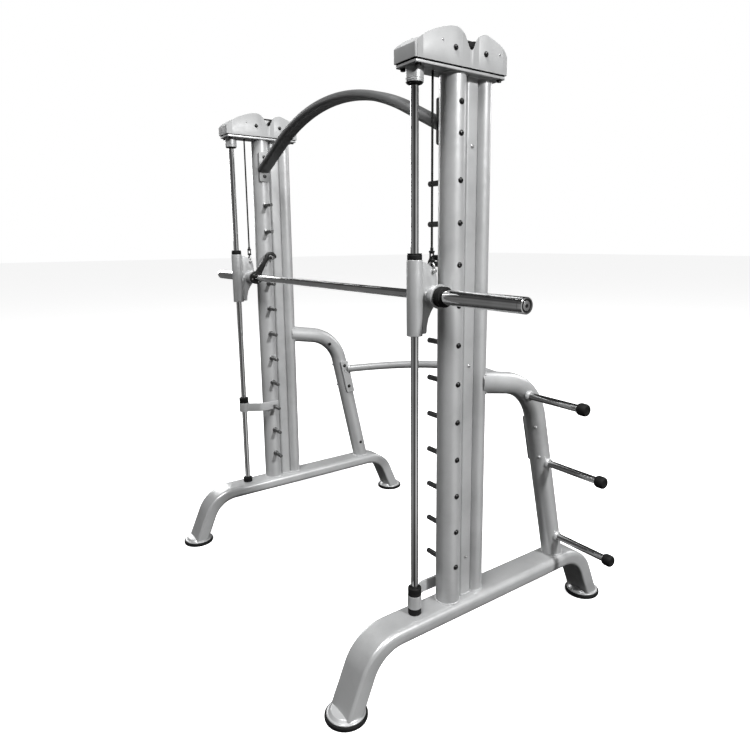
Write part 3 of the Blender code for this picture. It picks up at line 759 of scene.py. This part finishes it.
def storage_horns():
    root = SIDE_X + BRACE_R
    flare = [(HORN_R - 0.0002, -0.004), (0.02, -0.004), (0.0195, 0.003), (0.016, 0.0065),
             (HORN_R - 0.0002, 0.008)]
    cap = [(0.0, 0.0034), (HORN_R + 0.0003, 0.0034), (HORN_R + 0.0003, 0.0), (0.0168, 0.0),
           (0.019, 0.001), (0.0214, 0.0068), (0.0214, 0.012), (0.0206, 0.0128),
           (0.0206, 0.0142), (0.0214, 0.015), (0.0214, 0.0252), (0.019, 0.0312),
           (0.0168, 0.033), (0.0085, 0.033), (0.0075, 0.0318), (0.0, 0.0318)]
    flare = softened([(r, root + h) for r, h in flare], 0.0008)
    cap = [(r, HORN_END - 0.003 + h) for r, h in cap]
    for k, centre in enumerate(HORNS, 1):
        # The horns take the darker chrome copy: painted shade.
        piece(f"horn_{k}", [rod(HORN_R, root - 0.006, HORN_END, "x", centre, 64, 0.001)],
              HORN_SHADED_CHROME, "frame", f"storage_horn_{k}")
        piece(f"horn_root_{k}", [lathe(flare, 64, "x", centre)], SILVER)
        piece(f"horn_cap_{k}", [lathe(cap, 64, "x", centre)], RUBBER, "frame",
              f"storage_horn_cap_{k}")


def crossbar():
    end_x, end_y, end_z = CROSS_END
    back, up = CROSS_BOW
    path = []
    for px in span(-end_x, end_x, 72):
        bow = 1 - (px / end_x) ** 2
        path.append((px, end_y + back * bow, end_z + up * bow))
    piece("crossbar", [sweep(path, circle(CROSS_R, 48), (0.0, -up, back))], SILVER, "frame",
          "rear_crossbar")
    lift = Vector((back, up)).normalized()
    level = Vector((-lift.y, lift.x))
    stretch = hypot(1.0, 2 * hypot(back, up) / end_x)
    rim = [level * u + lift * v * stretch for u, v in circle(CROSS_R + 0.0004, 60)]
    low, high = CROSS_PLATE_Z
    corners = ((-0.018, low), (0.03, low), (0.03, high), (-0.018, high))
    outline = softened([(brace_depth(z) + d, z) for d, z in corners], 0.01, 5)
    spots = [(brace_depth(z) + 0.002, z) for z in CROSS_BOLT_Z]
    near = CROSS_PLATE_X[0]
    plates, heads, welds = [], [], []
    for side, _ in SIDES:
        line = [(side * SIDE_X, brace_depth(z), z) for z in (0.55, 0.95)]
        plates.append(carved(prism(outline, *spread(side, CROSS_PLATE_X), "x"),
                             [sweep(line, circle(BRACE_R - 0.0002, 96))], 0.0012))
        heads += bolts(DOME, 0.0078, 0.005, side * (near + 0.0002), -side, "x", spots, 0.0098)
        welds.append(bead([(side * (near - 0.0002), end_y + 0.003 + p.x, end_z + p.y)
                           for p in rim], lateral=(1, 0, 0)))
    piece("crossbar_plates", plates, SILVER)
    piece("crossbar_welds", welds, SILVER)
    piece("crossbar_bolts", heads, BLACKENED)


def arch_height(px):
    """A bent middle with straight tangents down to the columns."""
    drop = ARCH_R - sqrt(ARCH_R ** 2 - min(abs(px), ARCH_BEND_HALF) ** 2)
    fall = ARCH_BEND_HALF / sqrt(ARCH_R ** 2 - ARCH_BEND_HALF ** 2)
    return ARCH_TOP - drop - fall * max(abs(px) - ARCH_BEND_HALF, 0.0)


def pull_up_arch():
    reach = SIDE_X - FRONT_R + 0.004
    wide, thick = ARCH_SECTION
    cuts = [to_plane((end, 0, 0), (1, 0, 0)) for end in (-reach, reach)]
    # The arch takes the dark grey that stands in for its shade: painted shade.
    piece("pull_up_arch",
          [sweep([(px, FRONT_Y, arch_height(px)) for px in span(-reach, reach, 96)],
                 rounded(wide, thick, thick / 2 - 0.0005, 12), (0, 1, 0), cuts)],
          ARCH_SHADE_PAINT, "frame", "pull_up_bar")
    low, high = ARCH_FLANGE_Z
    outline = rounded(ARCH_FLANGE_WIDE, high - low, 0.008, 6, (FRONT_Y, (low + high) / 2))
    spots = [(FRONT_Y, z) for z in ARCH_BOLTS]
    near, far = (SIDE_X - inward for inward in ARCH_FLANGE_X)
    plates, heads = [], []
    for side, _ in SIDES:
        tube = rod(FRONT_R - 0.0002, 1.7, 1.99, "z", (side * SIDE_X, FRONT_Y), 128)
        plates.append(carved(prism(outline, *spread(side, (near, far)), "x"), [tube], 0.0012))
        heads += bolts(DOME, 0.007, 0.0045, side * (near + 0.0002), -side, "x", spots, 0.0088)
    # The plates take the darker silver copy: painted shade.
    piece("arch_plates", plates, SHADED_PLATE_PAINT)
    piece("arch_bolts", heads, BLACKENED)


# Head
def height_at(y, curve):
    for a, b in zip(curve, curve[1:]):
        if y <= b.x:
            return a.y + (b.y - a.y) * max(y - a.x, 0.0) / max(b.x - a.x, 1e-9)
    return curve[-1].y


def shroud(side, name):
    """Folded sheet cover: a rounded rectangular wall whose rim follows the two humps."""
    x = side * SIDE_X
    curve = bent(SHROUD_PROFILE, 8)
    low = SHROUD_FOOT + 0.0038
    seam = SHROUD_FRONT + 0.0075

    def outline(inset, corner):
        half = SHROUD_HALF_X - inset
        y0, y1 = SHROUD_FRONT + inset, SHROUD_REAR - inset
        ys = sorted(span(y0 + corner, y1 - corner, 120)
                    + [seam + d for d in (-0.0007, -0.0005, 0.0005, 0.0007)])
        flank = [(half - (0.001 if abs(y - seam) < 0.0006 else 0.0), y) for y in ys]
        xs = span(corner - half, half - corner, 8)
        runs = (flank, [(-px, y1) for px in xs], [(-px, y) for px, y in flank[::-1]],
                [(px, y0) for px in xs])
        loop = []
        for turn, run in enumerate(runs):
            cx = half - corner if turn in (0, 3) else -half + corner
            cy = y1 - corner if turn < 2 else y0 + corner
            loop += run
            for k in range(1, 6):
                a = pi / 2 * (turn + k / 6)
                loop.append((cx + corner * cos(a), cy + corner * sin(a)))
        return loop
    rings = [(outline(inset, corner), shift) for inset, corner, shift in
             ((0.0, 0.0045, None), (0.0, 0.0045, -SHROUD_EASE), (SHROUD_EASE, 0.004, 0.0),
              (SHROUD_SHEET - SHROUD_EASE, 0.0022, 0.0), (SHROUD_SHEET, 0.0018, -SHROUD_EASE),
              (SHROUD_SHEET, 0.0018, None))]
    verts = [Vector((x + px, py,
                     low if shift is None else min(height_at(py, curve), SHROUD_TOP) + shift))
             for loop, shift in rings for px, py in loop]
    count = len(rings[0][0])
    faces = []
    for i in range(len(rings)):
        faces += band(i * count, (i + 1) % len(rings) * count, count)
    piece(f"shroud_{name}", [(verts, faces)], COVER, "frame", f"head_shroud_{name}", 50)

    # Painted shade: a black rubber strip, set back in the gap below the cover's raised rim, stands in
    # for the shadow in that gap.
    long = SHROUD_REAR - SHROUD_FRONT
    seal = [rounded(2 * (SHROUD_HALF_X - inset), long - 2 * inset, 0.006, 6,
                    (x, (SHROUD_FRONT + SHROUD_REAR) / 2)) for inset in (0.0045, 0.011)]
    piece(f"head_gap_shade_strip_{name}", [pipe(*seal, PLATE_TOP - 0.0005, low + 0.001, "z")], RUBBER)

    heads, screws, axles = [], [], []
    inside = SHROUD_HALF_X - SHROUD_SHEET
    for s in (-1, 1):
        face = x + s * SHROUD_HALF_X
        heads += bolts(DOME, 0.0068, 0.005, face, s, "x", PULLEY_AXLES, 0.0086)
        screws += bolts(DOME, 0.0034, 0.0018, face, s, "x", SHROUD_SCREWS)
    for centre in PULLEY_AXLES:
        axles.append(rod(0.0058, x - inside, x + inside, "x", centre, 32))
        for s in (-1, 1):
            ends = sorted((x + s * 0.0175, x + s * inside))
            axles.append(ring(0.0058, 0.0095, *ends, "x", centre, 32))
    piece(f"shroud_bolts_{name}", heads, BLACKENED)
    piece(f"shroud_screws_{name}", screws, ZINC)
    piece(f"pulley_axles_{name}", axles, ZINC)


def head_plate(side, name):
    x = side * SIDE_X
    front, rear = SHROUD_FRONT + 0.003, SHROUD_REAR - 0.003
    outline = rounded(2 * SHROUD_HALF_X - 0.006, rear - front, 0.008, 6, (x, (front + rear) / 2))
    slab = prism(outline, COLUMN_TOP, PLATE_TOP, "z")
    holes = [rod(0.0085, 1.98, 2.03, "z", (x, y), 32) for y in CABLE_Y]
    piece(f"head_slab_{name}", [carved(slab, holes, 0.001)], SILVER, "frame",
          f"head_plate_{name}")
    cup = [(ROD_BORE, COLUMN_TOP + 0.001), (0.0268, COLUMN_TOP + 0.001), (0.0268, 1.9682),
           (0.0256, 1.9674), (0.0256, 1.966), (0.0268, 1.9652), (0.0268, 1.962),
           (0.0256, 1.9612), (0.0256, 1.9598), (0.0266, 1.959), (0.0262, PLATE_FOOT + 0.0035),
           (ROD_BORE, PLATE_FOOT + 0.0035)]
    piece(f"rod_cup_{name}", [lathe(cup, 72, "z", (x, ROD_Y))], SILVER)
    bush = ring(ROD_BORE, 0.0235, PLATE_FOOT, PLATE_FOOT + 0.006, "z", (x, ROD_Y), 64)
    piece(f"cup_bush_{name}", [bush], RUBBER)
    spots = [(x + px, y) for px in (-0.036, 0.036) for y in (front + 0.02, rear - 0.016)]
    piece(f"plate_bolts_{name}",
          bolts(HEX, 0.0075, 0.0055, COLUMN_TOP, -1, "z", spots, 0.0095), BLACKENED)


def pulleys_and_cables(side, name):
    x = side * SIDE_X
    groove = CABLE_R + 0.0004
    half = [(0.006, 0.0152), (0.013, 0.0152), (0.0142, 0.014), (0.0142, 0.0078),
            (0.018, 0.007), (0.02, 0.005), (0.036, 0.005), (0.0378, 0.0066),
            (PULLEY_RIM - 0.0012, 0.0075), (PULLEY_RIM, 0.0063), (PULLEY_RIM, groove + 0.0004)]
    curve = [(PULLEY_CABLE_R + 0.0004 - groove * cos(a), groove * sin(a))
             for a in span(pi / 2, -pi / 2, 12)]
    profile = [(r, x + h) for r, h in half + curve + [(r, -h) for r, h in half[::-1]]]
    for centre, where in zip(PULLEY_AXLES, ("front", "rear")):
        body = f"pulley_{where}_{name}"
        piece(f"pulley_wheel_{where}_{name}", [lathe(profile, 96, "x", centre)], NYLON, body, body)
        race = ring(0.0061, 0.0118, x - 0.0162, x + 0.0162, "x", centre)
        piece(f"pulley_bearing_{where}_{name}", [race], ZINC, body)

    front, rear = CABLE_Y
    path = [(x, front, COLUMN_TOP), (x, front, PULLEY_AXLES[0][1])]
    for (y, z), start in zip(PULLEY_AXLES, (pi, pi / 2)):
        for a in span(start, start - pi / 2, 24):
            path.append((x, y + PULLEY_CABLE_R * cos(a), z + PULLEY_CABLE_R * sin(a)))
    path.append((x, rear, COLUMN_TOP))
    piece(f"cable_over_{name}", [rope(path)], CABLE_COAT, "frame", f"cable_head_{name}")
    weight = f"counterweight_{name}"
    for node, y, low, body in ((f"cable_front_{name}", front, CLEVIS_Z[1] - 0.004, "lift"),
                               (f"cable_rear_{name}", rear, WEIGHT_Z[1] - 0.006, weight)):
        ends = ((x, y, COLUMN_TOP), (x, y, low))
        run = piece(f"{node}_run", [rope(ends)], CABLE_COAT, None, node)
        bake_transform(run)
    piece(f"weight_rod_{name}",
          [ring(0.0, WEIGHT_R, *WEIGHT_Z, "z", (x, rear), 48, 0.004, 5)], IRON, weight, weight)


# Guides and carriages
def guide(side, name):
    centre = (side * SIDE_X, ROD_Y)
    piece(f"guide_shaft_{name}", [rod(ROD_R, ROD_LOW.z, ROD_HIGH.z, "z", centre, 96)],
          CHROME_Z, "frame", f"guide_rod_{name}")
    ends = (corner.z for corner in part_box(f"rod_bumper_{name}"))
    piece(f"foot_bumper_{name}", [ring(ROD_BORE, 0.0225, *ends, "z", centre, 72, 0.002, 5)],
          RUBBER, "frame", f"rod_bumper_{name}")


def carriage(side, name):
    """A bushing on the guide rod, a gusset plate and the hub that carries the bar."""
    x = side * SIDE_X
    low, high = CARRIAGE_Z
    centre = (x, ROD_Y)
    body = ring(ROD_BORE, CARRIAGE_R, low, high, "z", centre, 96, 0.0016, 4)
    outline = [(deep(y), z) for y, z in (
        (0.015, 1.441), (0.038, 1.438), (0.053, 1.43), (0.064, 1.423), (0.073, 1.419),
        (0.079, 1.408), (0.083, 1.394), (0.085, 1.375), (0.085, 1.32), (0.078, 1.305),
        (0.062, 1.285), (0.05, 1.262), (0.044, 1.235), (0.043, 1.22), (0.04, 1.215),
        (0.015, 1.215))]
    gusset = prism(outline, x - GUSSET_HALF, x + GUSSET_HALF, "x")
    ends = spread(side, HUB_X)
    hub = ring(BAR_BORE, HUB_R, *ends, "x", BAR_AXIS, 96, 0.0016, 4)
    bore = rod(ROD_BORE, low - 0.05, high + 0.05, "z", centre, 64)
    hole = rod(BAR_BORE, ends[0] - 0.02, ends[1] + 0.02, "x", BAR_AXIS, 64)
    welds = []
    seam_y = ROD_Y + sqrt(CARRIAGE_R ** 2 - GUSSET_HALF ** 2) + 0.0004
    rim = [(u, v) for u, v in circle(HUB_R + 0.0004, 72) if u < 0.017]
    split = max(range(len(rim)), key=lambda i: dist(rim[i], rim[i - 1]))
    rim = rim[split:] + rim[:split]
    for s in (-1, 1):
        edge = x + s * (GUSSET_HALF + 0.0004)
        welds.append(bead([(edge, seam_y, z) for z in (1.219, 1.44)], 0.0026, False, (0, 1, 0)))
        welds.append(bead([(edge, BAR_AXIS[0] + u, BAR_AXIS[1] + v) for u, v in rim], 0.0026,
                          False, (1, 0, 0)))
    piece(f"carriage_block_{name}", [body, hub, carved(gusset, [bore, hole], 0.0018)] + welds,
          SILVER, "lift", f"carriage_{name}")
    a, b = (corner.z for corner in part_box(f"carriage_seal_{name}"))
    loop = ((ROD_BORE, a), (0.0232, a), (0.0232, b - 0.005), (0.0218, b - 0.004),
            (0.0218, b - 0.0028), (0.0226, b - 0.002), (0.0226, b), (ROD_BORE, b))
    piece(f"carriage_wiper_{name}", [lathe(softened(loop, 0.001), 72, "z", centre)], RUBBER,
          "lift", f"carriage_seal_{name}")
    cable_link(x, name)


def cable_link(x, name):
    """Bow shackle, turnbuckle and swaged cable end above the gusset."""
    y = CABLE_Y[0]
    eye, top = CLEVIS_Z
    pin_z = eye + 0.012
    half, wire = 0.0125, 0.0034
    bow = [(x + half * cos(a), y, pin_z + half * (1 + sin(a))) for a in span(0, pi, 24)]
    path = [(x + half, y, pin_z - 0.002), *bow, (x - half, y, pin_z - 0.002)]
    shackle = [sweep(path, circle(wire, 24), (0, 1, 0)),
               rod(0.0034, x - 0.0175, x + 0.0175, "x", (y, pin_z), 24, 0.0004)]
    for s in (-1, 1):
        ends = sorted((x + s * 0.009, x + s * 0.016))
        shackle.append(ring(0.0033, 0.0062, *ends, "x", (y, pin_z), 32))
        shackle += bolts(HEX, 0.0062, 0.0038, x + s * 0.016, s, "x", [(y, pin_z)])
    piece(f"shackle_{name}", shackle, ZINC, "lift", f"cable_clevis_{name}")

    low = pin_z + 2 * half - wire
    barrel = [rod(0.0036, low - 0.002, low + 0.012, "z", (x, y), 24, 0.0004)]
    for k in range(7):
        z = low + 0.0005 + 0.0012 * k
        barrel.append(ring(0.0033, 0.0041, z, z + 0.0007, "z", (x, y), 24, 0.0002))
    for s in (-1, 1):
        barrel.append(rod(0.0027, low + 0.009, low + 0.038, "z", (x, y + s * 0.0064), 24, 0.0004))
    for z in (low + 0.009, low + 0.035):
        barrel.append(rod(0.0094, z, z + 0.0055, "z", (x, y), 40, 0.0014))
    for foot, out in ((0.0145, 1), (0.035, -1)):
        barrel += bolts(HEX, 0.007, 0.004, low + foot, out, "z", [(x, y)])
    barrel.append(rod(0.0052, low + 0.039, top + 0.007, "z", (x, y), 32, 0.0012))
    piece(f"turnbuckle_{name}", barrel, BLACKENED, "lift")


# Bar
def lifting_bar():
    inner, outer = SLEEVE_X
    half = [(BAR_R, inner - 0.0006), (SLEEVE_R - 0.001, inner - 0.0006),
            (SLEEVE_R, inner + 0.0004), (SLEEVE_R, outer - 0.016),
            (SLEEVE_R - 0.0006, outer - 0.0155), (SLEEVE_R - 0.0006, outer - 0.0145),
            (SLEEVE_R, outer - 0.014), (SLEEVE_R, outer - 0.0016),
            (SLEEVE_R - 0.0006, outer - 0.0004), (SLEEVE_R - 0.0016, outer),
            (SLEEVE_R - 0.0045, outer), (SLEEVE_R - 0.0052, outer - SLEEVE_DISH),
            (0.0, outer - SLEEVE_DISH)]
    loop = [(r, -h) for r, h in reversed(half)] + half
    piece("bar_shaft", [lathe(loop, 128, "x", BAR_AXIS)], CHROME_X, "bar", "lifting_bar")
    discs, seals, screws, rings = [], [], [], []
    for side, _ in SIDES:
        back, disc, seal, head = (side * (outer - SLEEVE_DISH + out)
                                  for out in (-0.0005, 0.0012, 0.0006, 0.0011))
        discs.append(rod(0.0134, *sorted((back, disc)), "x", BAR_AXIS, 64, 0.0005))
        seals.append(ring(0.0136, SLEEVE_R - 0.0054, *sorted((back, seal)), "x", BAR_AXIS, 64, 0.0003))
        screws += bolts(DOME, 0.0056, 0.0009, head, side, "x", [BAR_AXIS])
        rings.append(ring(BAR_R - 0.0005, RING_R, *spread(side, RING_X), "x", BAR_AXIS, 96, 0.0012))
    piece("bar_rings", rings, SILVER, "bar")
    piece("sleeve_end_discs", discs, ZINC, "bar")
    piece("sleeve_end_seals", seals, RUBBER, "bar")
    piece("sleeve_end_screws", screws, BLACKENED, "bar")
    outline = hook_outline()
    for side, name in SIDES:
        hook(side, name, outline)
        a, b = spread(side, (RING_X[1] + 0.0002, inner - 0.0009))
        groove = ((BAR_BORE, a), (COLLAR_R - 0.0012, a), (COLLAR_R, a + 0.0014),
                  (COLLAR_R, a + 0.0085), (COLLAR_R - 0.0012, a + 0.0095),
                  (COLLAR_R - 0.0012, b - 0.0095), (COLLAR_R, b - 0.0085), (COLLAR_R, b - 0.002),
                  (COLLAR_R - 0.002, b), (BAR_BORE, b))
        piece(f"collar_{name}", [lathe(softened(groove, 0.001), 96, "x", BAR_AXIS)], RUBBER,
              "bar", f"sleeve_collar_{name}")


def hook_outline():
    """An arm from the bar that ends in an open band over the peg it hangs on."""
    def out(angle):
        return Vector((cos(angle), sin(angle)))
    foot = Vector(BAR_AXIS)
    peg = Vector((FRONT_Y, PEG_TOP_Z - BAR_PEG * PEG_PITCH))
    toward = atan2(peg.y - foot.y, peg.x - foot.x)
    inside, outside = HOOK_BAND
    start, finish = toward - radians(38), radians(205)
    angles = span(start, finish, 40)
    arm = out(toward + radians(8))
    across = Vector((-arm.y, arm.x))
    loop = [peg + out(a) * inside for a in angles]
    # The arm is drawn wider than the arm alone, so its black plate also covers part of the shadow it
    # casts on the column: painted shadow.
    loop += [foot + arm * 0.084 - across * 0.009, foot + arm * 0.026 - across * 0.015,
             foot + arm * 0.024 + across * 0.017]
    loop += [peg + out(a) * outside for a in reversed(angles) if a < radians(175)]
    tip = peg + out(start) * (inside + outside) / 2
    loop += [tip + out(start - pi * k / 12) * ((outside - inside) / 2) for k in range(1, 12)]
    return [(p.x, p.y) for p in loop]


def hook(side, name, outline):
    low, high = spread(side, HOOK_X)
    bore = rod(BAR_BORE, low - 0.01, high + 0.01, "x", BAR_AXIS, 64)
    plate = carved(prism(outline, low, high, "x"), [bore], 0.0012)
    clamp = ring(BAR_BORE + 0.0001, CLAMP_R, low - 0.002, high + 0.002, "x", BAR_AXIS, 96, 0.0012)
    piece(f"hook_{name}", [plate, clamp], BLACKENED, "bar", f"bar_hook_{name}")
    spots = [(BAR_AXIS[0] + 0.0235 * cos(a), BAR_AXIS[1] + 0.0235 * sin(a))
             for a in (radians(200), radians(290))]
    piece(f"hook_screws_{name}",
          bolts(DOME, 0.0036, 0.0022, low - 0.002, -1, "x", spots)
          + bolts(DOME, 0.0036, 0.0022, high + 0.002, 1, "x", spots), ZINC, "bar")


# Safety stops
def safety_stop(side, name, drop):
    low, high = (z - drop for z in STOP_Z)
    centre = (side * SIDE_X, ROD_Y)
    block = ring(ROD_BORE, STOP_R, low, high, "z", centre, 96, 0.0014, 4)
    line = bent(((0.708, 0.012), (0.696, 0.03), (0.683, 0.048), (0.672, 0.062),
                 (0.668, 0.072), (0.667, 0.085), (0.667, 0.125), (0.667, 0.166)), 8)
    path = [(side * p.x, deep(p.y), (low + high) / 2 - 0.0012) for p in line]
    arm = sweep(path, rounded(0.042, 0.008, 0.0012, 3), (0, 0, 1))
    x0, x1 = spread(side, (0.65, 0.69))
    y0, y1 = FRONT_Y - PEG_RADIUS - 0.001, deep(0.19)
    peg_top = PEG_TOP_Z - STOP_PEG * PEG_PITCH - drop + PEG_RADIUS
    notch = prism(((x0, y0), (x1, y0), (x1, y1), (x0, y1)), low - 0.05, peg_top + 0.0007, "z")
    bore = rod(ROD_BORE + 0.0001, low - 0.05, high + 0.05, "z", centre, 64)
    piece(f"stop_block_{name}", [block, carved(arm, [notch, bore], 0.0008)], SILVER,
          f"stop_arm_{name}", f"safety_stop_{name}")
    a, b = (corner.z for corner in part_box(f"stop_bumper_{name}"))
    loop = ((ROD_BORE, a), (0.0228, a), (0.0228, a + 0.006), (0.0218, a + 0.0072),
            (0.0218, a + 0.0092), (0.0228, a + 0.0104), (0.0228, b), (ROD_BORE, b))
    piece(f"stop_pad_{name}", [lathe(softened(loop, 0.0018, 4), 72, "z", centre)], RUBBER,
          f"stop_slider_{name}", f"stop_bumper_{name}")


for sign, label in SIDES:
    for build in (base, columns, rear_brace, shroud, head_plate, pulleys_and_cables, guide,
                  carriage):
        build(sign, label)
    safety_stop(sign, label, 0.0 if sign < 0 else STOP_PARKED)
storage_horns()
crossbar()
pull_up_arch()
lifting_bar()

# Camera
camera = bpy.data.cameras.new("camera")
camera.lens = 28.917
camera.sensor_width = 36.0
camera.shift_x, camera.shift_y = -0.0202, -0.0333
viewer = linked("camera", camera)
turn, pitch, roll = (radians(a) for a in (54.407, -10.112, -0.416))
ahead = Vector((-sin(turn) * cos(pitch), cos(turn) * cos(pitch),
                sin(pitch)))
right = ahead.cross(Vector((0, 0, 1))).normalized()
above = right.cross(ahead)
across = right * cos(roll) + above * sin(roll)
upward = above * cos(roll) - right * sin(roll)
pose = Matrix((across, upward, -ahead)).transposed().to_4x4()
pose.translation = Vector((2.192, -1.4701, 1.4991))
viewer.matrix_world = pose
bpy.context.scene.camera = viewer


# Studio
def lamp(name, azimuth, elevation, distance, size, power):
    """Square soft light aimed at the machine; azimuth runs from +X towards +Y."""
    light = bpy.data.lights.new(name, "AREA")
    light.size = size
    light.energy = power
    a, e = radians(azimuth), radians(elevation)
    out = Vector((cos(a) * cos(e), sin(a) * cos(e), sin(e)))
    made = linked(name, light)
    made.location = (CAD_BOX[0] + CAD_BOX[1]) / 2 + out * distance
    made.rotation_euler = (-out).to_track_quat("-Z", "Y").to_euler()


lamp("key", 10.0, 32.0, 8.0, 0.7, 700.0)
lamp("front_fill", -60.0, 62.0, 6.0, 2.0, 410.0)
lamp("rear_fill", 90.0, 24.0, 8.0, 3.0, 140.0)
lamp("left_fill", 180.0, 15.0, 8.0, 3.0, 220.0)

# The room: level by height, by compass direction, and lower for diffuse light
BANDS = ((0.0, 0.3), (0.15, 0.3), (0.275, 1.1), (0.4, 0.9), (0.485, 0.8), (0.53, 1.0),
         (0.64, 0.8), (0.7, 0.3), (0.775, 0.55), (0.85, 0.2), (1.0, 0.5))
COMPASS = ((-180, 0.14), (-140, 0.16), (-108, 0.26), (-75, 0.17), (-48, 0.07), (-14, 0.08),
           (-6, 0.6), (36, 0.6), (44, 0.18), (70, 0.13), (180, 0.12))
world = bpy.data.worlds.new("studio")
bpy.context.scene.world = world
world.use_nodes = True
world.node_tree.nodes.clear()
wire = world.node_tree.links.new


def room_node(kind, **settings):
    node = world.node_tree.nodes.new("ShaderNode" + kind)
    for key, value in settings.items():
        setattr(node, key, value)
    return node


place = room_node("TexCoord").outputs["Generated"]
split = room_node("SeparateXYZ")
wire(place, split.inputs["Vector"])
tall = room_node("MapRange")
tall.inputs["From Min"].default_value = -1.0
wire(split.outputs["Z"], tall.inputs["Value"])
around = room_node("TexGradient", gradient_type="RADIAL")
wire(place, around.inputs["Vector"])
scaled = room_node("VectorMath", operation="MULTIPLY")
for source, stops, socket in (
        (tall.outputs["Result"], BANDS, scaled.inputs[0]),
        (around.outputs["Fac"], [(0.5 + a / 360, level) for a, level in COMPASS],
         scaled.inputs[1])):
    levels = room_node("ValToRGB")
    fill_ramp(levels, stops)
    wire(source, levels.inputs["Fac"])
    wire(levels.outputs["Color"], socket)
ray = room_node("LightPath")
strength = room_node("Math", operation="MULTIPLY_ADD")
strength.inputs[1].default_value = -0.6
strength.inputs[2].default_value = 0.95
wire(ray.outputs["Is Diffuse Ray"], strength.inputs[0])
room = room_node("Background")
wire(scaled.outputs["Vector"], room.inputs["Color"])
wire(strength.outputs["Value"], room.inputs["Strength"])
seen = room_node("Background")
seen.inputs["Color"].default_value = (1.0, 1.0, 1.0, 1.0)
choice = room_node("MixShader")
wire(ray.outputs["Is Camera Ray"], choice.inputs["Fac"])
wire(room.outputs["Background"], choice.inputs[1])
wire(seen.outputs["Background"], choice.inputs[2])
wire(choice.outputs["Shader"], room_node("OutputWorld").inputs["Surface"])

floor_paint = Finish("pale_floor", (0.86, 0.86, 0.86), 0.0, 0.7)
floor_paint.shader.inputs["Emission Color"].default_value = (1.0, 1.0, 1.0, 1.0)
floor_paint.shader.inputs["Emission Strength"].default_value = 0.88
floor_paint.bump(floor_paint.noise(30.0), 0.0004, 0.1)
sheet = bpy.data.meshes.new("floor")
corners = [(sx * 60, sy * 60, -0.0002) for sx, sy in ((-1, -1), (1, -1), (1, 1), (-1, 1))]
sheet.from_pydata(corners, [], [(0, 1, 2, 3)])
sheet.materials.append(floor_paint.made)
floor = linked("floor", sheet)
floor.visible_diffuse = False
floor.visible_glossy = False
bpy.context.scene.view_settings.view_transform = "Standard"

bpy.context.view_layer.update()
